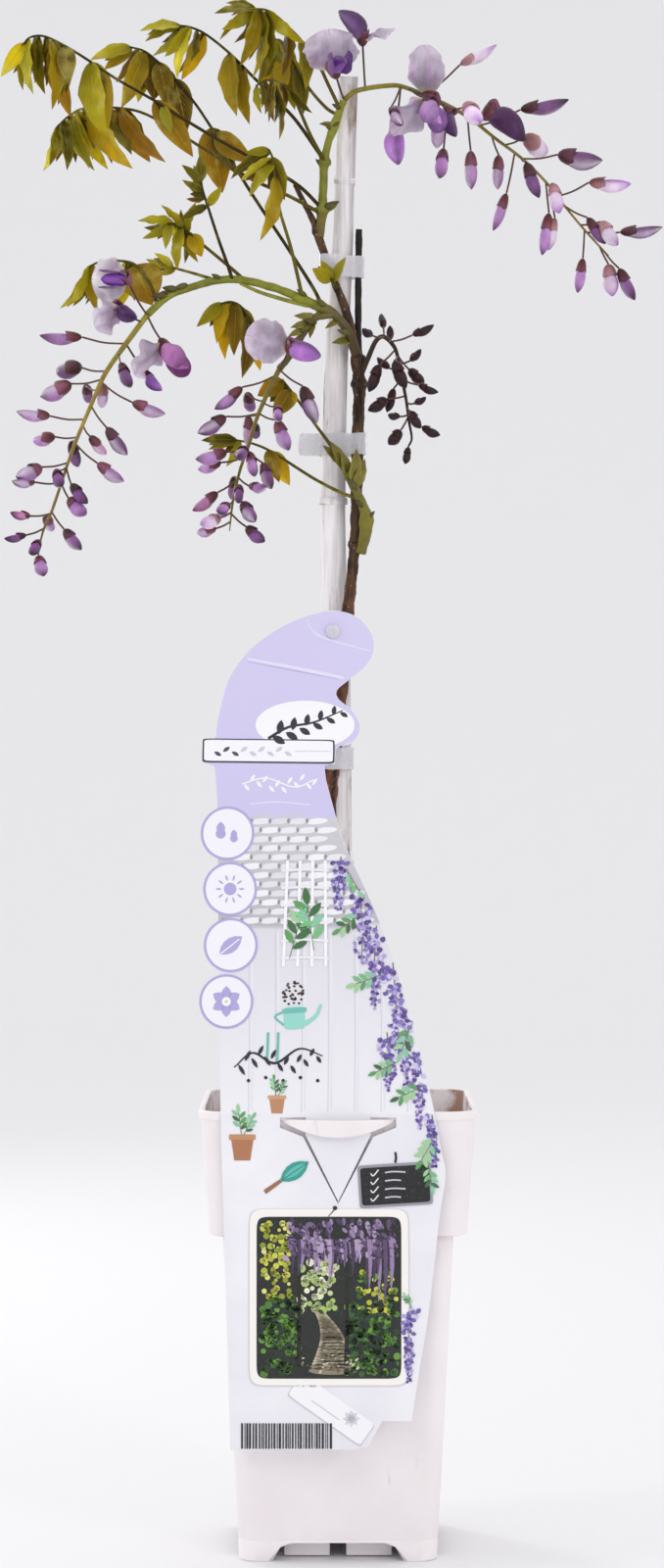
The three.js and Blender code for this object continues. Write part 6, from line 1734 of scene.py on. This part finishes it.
# The card's two sides as lines that always rise, up to the crest's peak.
peak = int(crest[:, 1].argmax())
right_side = np.vstack([
    [[7.7, 60.5], [14.8, 62], [21.5, 74.39]], right_edge, [[-7, 395.99], [-1.5, 396]], crest[: peak + 1],
])
left_side = np.vstack([
    [[-52.7, 60.5], [-57.5, 215], [-60.5, 379], [-62, 395.9], [-68.3, 397], [-67.5, 408.7]], crest[:peak:-1],
])
flakes = []


def field(low, high, colour, layer, fade):
    """The whole width of the card between two heights; fade is the colour at the top."""
    z = np.linspace(low, high, max(2, int((high - low) / 2)))
    left = np.interp(z, left_side[:, 1], left_side[:, 0]) + FIELD_INSET
    right = np.interp(z, right_side[:, 1], right_side[:, 0]) - FIELD_INSET
    x = mix(left[:, None], right[:, None], np.linspace(0, 1, 9))
    flat = np.stack([x, z[:, None] + 0 * x], -1)
    tint = shaded([colour, fade], len(z))
    flakes.append(surface(on_card(flat, layer), tint, across=0.5, closed=False))


def off_card(flat):
    """Whether any point lies past the card's right or lower edge."""
    limit = np.interp(flat[..., 1], right_side[:, 1], right_side[:, 0]) - 0.3
    return (flat[..., 0] > limit).any() or flat[..., 1].min() < 60.6


def patch(edge, colour, layer, steps):
    """An outline given anticlockwise, filled towards its middle. One that leaves the card isn't made."""
    edge = np.asarray(edge, float)
    if off_card(edge):
        return
    t = np.linspace(0, 1, steps + 1)[:, None, None]
    flakes.append(surface(on_card(mix(edge[None], edge.mean(0), t), layer), linear(*colour), across=0.5))


def oval(x, z, half_x, half_z, colour, layer, count, steps, turn=0.0):
    """An oval about x, z, turned by radians."""
    edge = around(0, 0, 1, all_round(count)) * [half_x, half_z]
    patch(turned_flat(edge, turn) + [x, z], colour, layer, steps)


def petal(x, z, length, width, angle, colour, layer):
    """A pointed oval from x, z along an angle in degrees: half-width sin(pi t) to the power 0.8."""
    t = np.linspace(0, 1, 6)
    half = width / 2 * np.sin(np.pi * t) ** 0.8
    edge = np.vstack([np.stack([t * length, -half], -1), np.stack([t * length, half], -1)[-2:0:-1]])
    patch(turned_flat(edge, math.radians(angle)) + [x, z], colour, layer, 1)


def tile(x, z, width, height, colour, layer, turn=0.0, corner=0.15, steps=4):
    """A rectangle with rounded corners about its middle, turned by degrees."""
    edge = squared_ring(40, corner) * [width / 2, height / 2]
    patch(turned_flat(edge, math.radians(turn)) + [x, z], colour, layer, steps)


def stroke(points, width, colour, layer, count=16):
    """A ribbon along a smooth line; width may be one number or foot, middle and end."""
    line = smooth(points, count)
    way = unit(np.gradient(line, axis=0))
    beside = np.stack([way[:, 1], -way[:, 0]], -1)
    wide = np.interp(np.linspace(0, 1, count), [0, 0.5, 1], np.broadcast_to(width, 3))[:, None] / 2
    flat = np.stack([line - beside * wide, line + beside * wide], 1)
    if off_card(flat):
        return
    flakes.append(surface(on_card(flat, layer), linear(*colour), across=0.5, closed=False))


print("the card's peak is at", crest[peak].round(1))


# %% Print motifs
def pick(colours, seed):
    """One of the colours, the same for the same seed."""
    return colours[int(draw(seed) * len(colours))]


VIOLETS = [(108, 90, 168), (140, 124, 196), (176, 162, 220), (86, 66, 140), (206, 198, 236), (122, 96, 176)]
GREENS = [(120, 186, 126), (92, 158, 92), (62, 108, 62), (158, 208, 148), (134, 200, 160)]


def hanging_sprig(x, z, length, width, seed, layer, sway):
    """Florets of three petals round a hanging line, broad at the top and narrow at the end."""
    count = int(length * 0.9)
    line = [[x, z + 2], [x + sway, z - length / 2], [x + sway * 0.6, z - length]]
    stroke(line, [0.5, 0.4, 0.3], (88, 84, 60), layer)
    for k in range(count):
        t = (k + draw(seed + k)) / count
        spread = width / 2 * (1 - t) ** 0.5 * (0.6 + 0.4 * draw(seed + k + 0.3))
        side = 1 if k % 2 else -1
        px = x + sway * math.sin(math.pi * min(t, 0.7)) + side * spread * draw(seed + k + 0.6)
        pz = z - t * length
        for j in range(3):
            angle, violet = 360 * draw(seed + 3.1 * k + j), pick(VIOLETS, seed + k + 7 * j)
            petal(px, pz, mix(3.2, 1.8, t), mix(2.2, 1.3, t), angle, violet, layer + 1 + j % 2)


def leafy(x, z, angle, size, seed, layer):
    """A small pinnate leaf of flat leaflets, one at its end and the rest in two ranks."""
    count = 7
    c, s = size * math.cos(math.radians(angle)), size * math.sin(math.radians(angle))
    stroke([[x, z], [x + c / 2, z + s / 2], [x + c, z + s]], 0.35, (96, 120, 76), layer)
    for k in range(count):
        t = 0.25 + 0.75 * k / (count - 1)
        way = angle + (0 if k == count - 1 else (48 if k % 2 else -48))
        petal(x + c * t, z + s * t, size * 0.42, size * 0.17, way, pick(GREENS, seed + k), layer + 1)


print(len(VIOLETS), "violets and", len(GREENS), "greens")

# %% Print: lavender top, oval and strip
LILAC, NEAR_WHITE, INK = (176, 168, 220), (245, 244, 250), (44, 40, 54)
field(370, 473.1, (206, 199, 238), 0, fade=(215, 208, 243))
# Two creases cross the lavender top without relief: pale lines of painted highlight, and a darker line of
# painted shade beside the first.
stroke([[-45.4, 449], [-22, 444.5], [0, 440], [3.4, 439]], [1.2, 1.8, 0.5], (232, 227, 248), 1)
stroke([[-16, 469.5], [-12.5, 463], [-5, 459], [16.2, 453]], [0.5, 1.2, 0.6], (229, 224, 247), 1)
stroke([[-45.2, 447.6], [-22, 443.1], [0, 438.8]], [0.3, 0.7, 0.3], (188, 181, 224), 1)
oval(-15.5, 415.6, 26.4, 13.2, (190, 182, 228), 1, 64, 8)
oval(-16.5, 415.6, 24.9, 12.3, (250, 249, 253), 2, 64, 8)
stroke([[-35, 408.8], [-25, 414.5], [-12, 417], [2.5, 423]], [1.5, 1.2, 0.5], INK, 3)
for k in range(11):
    t = k / 10
    petal(
        mix(-33, 1, t), mix(410, 422, t) - 0.8 * math.sin(math.pi * t), mix(7.6, 4.6, t), mix(3.8, 2.2, t),
        22 + (58 if k % 2 else -52), INK, 4,
    )
tile(-34.8, 402.5, 66.2, 12.0, INK, 3, -0.6, 0.1, 12)
tile(-34.8, 402.6, 64.6, 10.6, (248, 247, 252), 4, -0.6, 0.1, 12)
for k in range(9):
    colour = (74, 68, 92) if k < 3 else (206, 202, 222)
    petal(-62 + 4.4 * k, 402.2, 4.2, 1.9, 35 if k % 2 else -30, colour, 5)
for k in range(14):
    oval(-21 + 1.3 * k, 402.4, 0.35, 0.35, (198, 194, 216), 5, 8, 1)
stroke([[-48, 386], [-36, 389], [-22, 384.5], [-12, 388]], 0.7, NEAR_WHITE, 1)
for k in range(12):
    petal(-47 + 3.1 * k, 386 + 1.6 * math.sin(k * 0.9), 4.4, 1.7, 55 if k % 2 else -50, NEAR_WHITE, 2)
stroke([[-44, 376], [-30, 377], [-14, 375.6]], 0.5, (236, 232, 249), 1)
print(len(flakes), "flakes")

# %% Print: wicker and planks
field(316, 370, (186, 184, 192), 0, fade=(206, 204, 211))
for row in range(12):
    z = 318.5 + 4.45 * row
    for k in range(9):
        x = -52 + 9.2 * k + (4.6 if row % 2 else 0)
        limit = np.interp(z, right_side[:, 1], right_side[:, 0]) - 6.2
        if x < limit:
            shade = mix(222, 246, draw(row * 9 + k))
            oval(x, z, 5.6, 1.55, (shade, shade - 1, shade + 4), 1, 14, 1, 0.09)
            oval(x - 4.9, z + 0.2, 0.75, 1.3, (148, 146, 156), 2, 8, 1)
field(224, 316, (242, 241, 247), 0, fade=(222, 220, 228))
for x in range(-44, 35, 13):
    top = min(315, 262 - 1.9 * (x - 34))
    middle = (225 + top) / 2
    stroke([[x, 225], [x + 0.3, middle], [x, top]], 0.3, (206, 204, 214), 1, 30)
    stroke([[x + 1.6, 226], [x + 1.9, middle], [x + 1.4, top - 2]], [0.8, 1.8, 0.9], (233, 232, 240), 1, 30)
print(len(flakes), "flakes")

# %% Print: badges
# From below: a flower, a leaf, a sun and two drops.
for k, (x, z) in enumerate(BADGES):
    oval(x, z, 13.3, 13.3, LILAC, 3, 48, 7)
    oval(x, z, 12.1, 12.1, (244, 243, 251), 4, 48, 7)
    if k == 0:
        for j in range(6):
            petal(x, z, 7.6, 5.0, 60 * j + 30, LILAC, 5)
        oval(x, z, 2.2, 2.2, (250, 249, 253), 6, 20, 1)
        oval(x, z, 0.9, 0.9, (226, 214, 190), 7, 12, 1)
    if k == 1:
        petal(x - 5.8, z - 4.6, 14.5, 7.0, 38, LILAC, 5)
        stroke([[x - 7.4, z - 6.0], [x, z - 0.4], [x + 4.2, z + 3]], 0.6, (244, 243, 251), 6)
    if k == 2:
        oval(x, z, 3.1, 3.1, LILAC, 5, 24, 1)
        for j in range(10):
            petal(x + 4.1 * math.cos(j * 0.628), z + 4.1 * math.sin(j * 0.628), 3.2, 1.0, 36 * j, LILAC, 5)
    if k == 3:
        for dx, dz, size in ((-3.4, 1.0, 5.5), (3.2, -1.4, 4.2)):
            oval(x + dx, z + dz - 1.2, size * 0.45, size * 0.45, LILAC, 5, 20, 1)
            petal(x + dx, z + dz - 1.6, size * 1.15, size * 0.78, 90, LILAC, 6)
print(len(flakes), "flakes")

# %% Print: trellis, tools and hanging sprigs
for k in range(4):
    stroke([[-27 + 7 * k, 296], [-26 + 6.6 * k, 322], [-25 + 6.2 * k, 348]], 1.5, (250, 249, 253), 5)
for k in range(6):
    stroke([[-28.2, 300 + 8.6 * k], [-16, 300.6 + 8.6 * k], [-4.6, 300 + 8.6 * k]], 1.2, (240, 239, 246), 6)
leafy(-24, 300, 74, 20, 31, 7)
leafy(-12, 304, 98, 22, 47, 7)
SEED_BROWNS = [(62, 44, 38), (38, 26, 24), (96, 72, 60)]
for k in range(44):
    a, r = 6.283 * draw(k + 900), 5.5 * draw(k + 950) ** 0.7
    oval(-22 + r * math.cos(a), 282 + 1.3 * r * math.sin(a), 0.7, 0.6, pick(SEED_BROWNS, k), 3, 6, 1)
MINT, MINT_DEEP = (150, 216, 204), (112, 190, 178)
tile(-21.5, 271, 10.5, 11, MINT, 3, 4, 0.35)
tile(-21.5, 274.6, 12, 2.4, MINT_DEEP, 4, 4, 0.3)
stroke([[-16.4, 268], [-11, 272], [-8.4, 277.5]], [2.4, 1.8, 1.4], MINT, 3)
stroke([[-26.8, 274], [-31, 271.5], [-26.6, 267.4]], 1.1, MINT_DEEP, 3)
for side in (0, 1):
    stroke([[-35 + 5 * side, 250], [-34.6 + 5 * side, 257], [-34.4 + 5 * side, 264]], 1.3, MINT_DEEP, 3)
for k, (x, z, length, width) in enumerate([
    (1.5, 348, 24, 10), (10.5, 332, 34, 12), (19, 314, 38, 13), (27, 296, 40, 13), (34.5, 276, 38, 13),
    (24, 262, 26, 10), (41, 252, 34, 10), (46, 222, 24, 8), (35.5, 128, 34, 6.5),
]):
    hanging_sprig(x, z, length, width, 300 + 60 * k, 4, 1.6 if k % 2 else -1.2)
for k, (x, z, angle, size) in enumerate([
    (4, 344, 300, 12), (12, 322, 215, 13), (23, 308, 330, 11), (21, 292, 200, 13), (36, 268, 250, 14),
    (30, 250, 205, 12), (42, 238, 205, 13), (48, 214, 240, 14), (44, 200, 280, 11), (36, 130, 120, 6),
]):
    leafy(x, z, angle, size, 800 + 9 * k, 7)
print(len(flakes), "flakes")

# %% Print: twig flourish, pots, trowel and board
stroke([[-51, 247], [-42, 254], [-31, 249], [-19, 256], [-7.5, 252.5]], [0.6, 1.3, 0.5], INK, 3, 40)
for k in range(13):
    x, z = -49 + 3.2 * k, 250.3 + 2.4 * math.sin(k * 0.75 - 0.9)
    petal(x, z, mix(6.2, 4.2, k / 12), 1.9, 62 if k % 2 else -58, INK, 4)
for k in range(5):
    oval(-44 + 8.5 * k, 240.5 + 1.5 * (k % 2), 0.9, 0.9, INK, 3, 12, 1)
for x, z, size in ((-47, 208, 13), (-30, 229, 9)):
    clay, rim = ((176, 120, 84), (196, 142, 104)) if size > 10 else ((188, 138, 100), (208, 160, 122))
    pot_side = np.array([[-0.3, -0.5], [0.3, -0.5], [0.42, 0.3], [-0.42, 0.3]])
    patch([x, z] + pot_side * size, clay, 2, 3)
    tile(x, z + size * 0.38, size, size * 0.2, rim, 3)
    leafy(x - 0.4, z + size * 0.45, 97, size * 0.85, int(size), 3)
    leafy(x + 0.6, z + size * 0.45, 62, size * 0.7, int(size) + 3, 3)
TEAL = (52, 158, 146)
stroke([[-36, 186], [-31, 189.5], [-27.5, 192]], [2.2, 2.0, 1.6], (150, 112, 82), 3)
petal(-28.5, 191.4, 17, 8.2, 34, TEAL, 4)
petal(-27, 192.4, 14, 4.0, 34, (96, 190, 178), 5)
stroke([[-27.5, 192], [-20, 197], [-15, 200.4]], 0.4, (34, 120, 112), 6)
tile(28, 189.5, 36, 21, (150, 150, 162), 5, 3.5, 0.1)
tile(28, 189.5, 33.6, 18.4, (24, 24, 28), 6, 3.5, 0.1)
for k in range(4):
    z = 195.6 - 4.1 * k
    stroke([[16, z - 0.4], [17.2, z - 1.6], [19.8, z + 1.4]], 0.6, (238, 238, 242), 7, 9)
    stroke([[23, z], [27, z + 0.5], [33 - 2.2 * (k % 2), z + 0.3]], 0.7, (206, 206, 214), 7, 9)
stroke([[28, 200.4], [28.4, 203], [28, 205.6]], 1.1, (30, 28, 34), 5, 6)
print(len(flakes), "flakes")

# %% Print: garden panel, tag and bars
PANEL = {"x": -4.5, "z": 134.5, "width": 71, "height": 79}


def inside_panel(u, v):
    """Where a share u across and v up the panel lies."""
    return PANEL["x"] + (u - 0.5) * PANEL["width"], PANEL["z"] + (v - 0.5) * PANEL["height"]


def dabs(low, high, count, colours, size, seed, layer, tall=1.0):
    """Small ovals scattered in a part of the panel, u and v from 0 to 1."""
    for k in range(count):
        u, v = mix(low[0], high[0], draw(seed + k)), mix(low[1], high[1], draw(seed + k + 0.37))
        x, z = inside_panel(u, v)
        half = size * mix(0.6, 1.2, draw(seed + k + 0.71))
        colour, angle = pick(colours, seed + 3 * k), draw(seed + k + 0.11)
        oval(x, z, half, half * tall, colour, layer, 7, 1, angle)


tile(PANEL["x"], PANEL["z"], 79, 87, (214, 210, 216), 1, 0, 0.12, 18)
tile(PANEL["x"], PANEL["z"] + 0.3, 77.8, 86, (249, 246, 241), 2, 0, 0.12, 18)
tile(PANEL["x"], PANEL["z"], PANEL["width"], PANEL["height"], (30, 36, 30), 3, 0, 0.1, 18)
LIGHT = [(196, 212, 150), (226, 232, 190), (168, 194, 112), (240, 240, 214)]
LEAFAGE = [(54, 92, 40), (78, 122, 48), (34, 62, 32), (102, 150, 58), (24, 44, 28)]
GOLD = [(206, 204, 84), (178, 182, 60), (226, 222, 128), (140, 150, 44)]
MAUVE = [(120, 98, 138), (152, 128, 168), (92, 72, 108), (178, 156, 190), (70, 54, 84)]
dabs((0.3, 0.42), (0.56, 0.72), 60, LIGHT, 1.9, 1200, 4)
dabs((0.03, 0.03), (0.3, 0.5), 150, LEAFAGE, 1.7, 1400, 5)
dabs((0.62, 0.03), (0.97, 0.46), 170, LEAFAGE, 1.7, 1600, 5)
dabs((0.04, 0.5), (0.24, 0.96), 90, GOLD, 1.5, 1800, 5)
dabs((0.7, 0.4), (0.97, 0.66), 70, [*LEAFAGE, *GOLD[:2]], 1.5, 2000, 5)
dabs((0.2, 0.74), (0.97, 0.97), 170, MAUVE, 1.1, 2200, 6, 1.9)
for k in range(26):
    x, z = inside_panel(mix(0.24, 0.95, (k + draw(k)) / 26), 0.86)
    drop = mix(10, 26, draw(k + 40)) * (1.2 if k > 17 else 0.75)
    line = [[x, z], [x + 0.6, z - drop / 2], [x, z - drop]]
    stroke(line, [2.2, 1.9, 0.4], pick(MAUVE, k + 77), 5 + k % 2, 7)
PAVING = [(170, 158, 134), (196, 186, 160), (140, 128, 106)]
for k in range(30):
    t = k / 29
    x, z = inside_panel(mix(0.52, 0.42, t) + 0.05 * math.sin(3 * t), mix(0.05, 0.42, t**0.8))
    oval(x, z, mix(11.5, 2.2, t**0.7), mix(2.0, 0.7, t), pick(PAVING, k + 5), 4, 16, 1)
dabs((0.3, 0.04), (0.72, 0.16), 34, [(150, 138, 112), (96, 88, 70), (204, 196, 172)], 1.0, 2600, 6, 0.5)
for u in (0.29, 0.62):
    x, z = inside_panel(u, 0.08)
    stroke([[x, z], [x + 0.4, z + 26], [x, z + 55]], [2.4, 1.9, 1.6], (28, 24, 20), 5, 14)
arch = [inside_panel(u, v) for u, v in ((0.27, 0.74), (0.45, 0.82), (0.64, 0.74))]
stroke(arch, 2.0, (30, 26, 22), 5, 14)
oval(-1.5, 178.2, 1.1, 1.1, (38, 34, 40), 4, 14, 1)
stroke([[-1.5, 178], [-3.2, 175.8], [-5, 174]], [0.7, 0.5, 0.3], (60, 56, 62), 4, 6)
tile(-3.6, 79.6, 44, 13.4, (208, 205, 214), 0, -35, 0.14, 6)
tile(-3.4, 80.1, 43, 12.6, (248, 247, 251), 1, -35, 0.14, 6)
for j in range(8):
    petal(6.4, 75.6, 4.2, 2.0, 45 * j, (218, 215, 227), 2)
stroke([[-13, 84.4], [-6, 79.6], [0.5, 75]], 0.5, (204, 201, 213), 2)
x = -47.5
for k in range(34):
    wide = mix(0.35, 1.15, draw(k + 5000))
    tile(x + wide / 2, 67.2, wide, 12.4, (32, 30, 36), 3, 0, 0.05, 6)
    x += wide + mix(0.3, 0.8, draw(k + 5100))

print_ink, tree, shader = finish("printed_ink", (230, 228, 238), 0.4, Coat_Weight=0.12)
speckle = noise(tree, 1400, detail=2.0)
flecks = span(tree, speckle, 0.62, 0.8, 0.0, 0.12)
colour_from(tree, shader, blended(tree, flecks, tint_of(tree), linear(250, 250, 252)))
rough_from(tree, shader, speckle, 0.34, 0.48)
bump(tree, shader, speckle, 0.02)
card_print = make_piece("card_print", flakes, print_ink)
card_print.data.shade_flat()
skin = card_print.modifiers.new("flake_thickness", "SOLIDIFY")
skin.thickness = FLAKE_THICK * MM
skin.offset = -1
print(len(flakes), "flakes, the bars end at x =", round(x, 1))

# %% [markdown]
# ## Floor and light
#
# The floor is a wide shallow bowl, so that it has no horizon line. Three soft lamps stand low, in front, at
# the left and behind, where the light shines through the leaves.

# %% Studio
FLAT_RADIUS, WALL_RADIUS = 3300, 2400
FLOOR_SIDES = 96
bend = np.linspace(0.06, np.pi / 2, 24)
flat = np.array([0.001, *np.linspace(300, FLAT_RADIUS, 8)])
radius = np.concatenate([flat, FLAT_RADIUS + WALL_RADIUS * np.sin(bend)])
rise = np.concatenate([0 * flat, WALL_RADIUS * (1 - np.cos(bend))])
bowl = np.zeros((len(radius), FLOOR_SIDES, 3))
bowl[..., :2] = radius[:, None, None] * around(0, 0, 1, all_round(FLOOR_SIDES))
bowl[..., 2] = rise[:, None]
studio, tree, shader = finish("studio_floor", (238, 238, 240), 0.85)
floor_mesh = bpy.data.meshes.new("floor")
# The quads are turned over, because the bowl is seen from inside.
quads = grid_quads(len(radius), FLOOR_SIDES, True)[:, [0, 3, 2, 1]]
floor_mesh.from_pydata(in_metres(bowl).reshape(-1, 3), [], quads.tolist())
floor_mesh.shade_smooth()
floor_mesh.materials.append(studio)
floor = add_object("floor", floor_mesh)

world = bpy.data.worlds.new("soft_white")
bpy.context.scene.world = world
world.use_nodes = True
world.node_tree.nodes["Background"].inputs["Color"].default_value = (1, 1, 1, 1)
world.node_tree.nodes["Background"].inputs["Strength"].default_value = 0.97


def soft_lamp(name, place, target, size, watts):
    """A round lamp that looks from its place at its target, both in metres."""
    lamp = bpy.data.lights.new(name, "AREA")
    lamp.shape = "DISK"
    lamp.size = size
    lamp.energy = watts
    holder = add_object(name, lamp)
    holder.location = place
    way = np.array(target) - place
    tilt = math.atan2(math.hypot(way[0], way[1]), -way[2])
    holder.rotation_euler = (tilt, 0, math.atan2(-way[0], way[1]))


soft_lamp("key", (1.3, -1.9, 1.0), (0, 0, 0.5), 0.5, 5)
soft_lamp("side", (-1.7, -0.5, 1.3), (0, 0, 0.6), 0.5, 4)
soft_lamp("back", (-1.1, 1.4, 0.95), (0, 0, 0.7), 0.4, 6)
bpy.context.scene.view_settings.view_transform = "Standard"
print("studio is set")
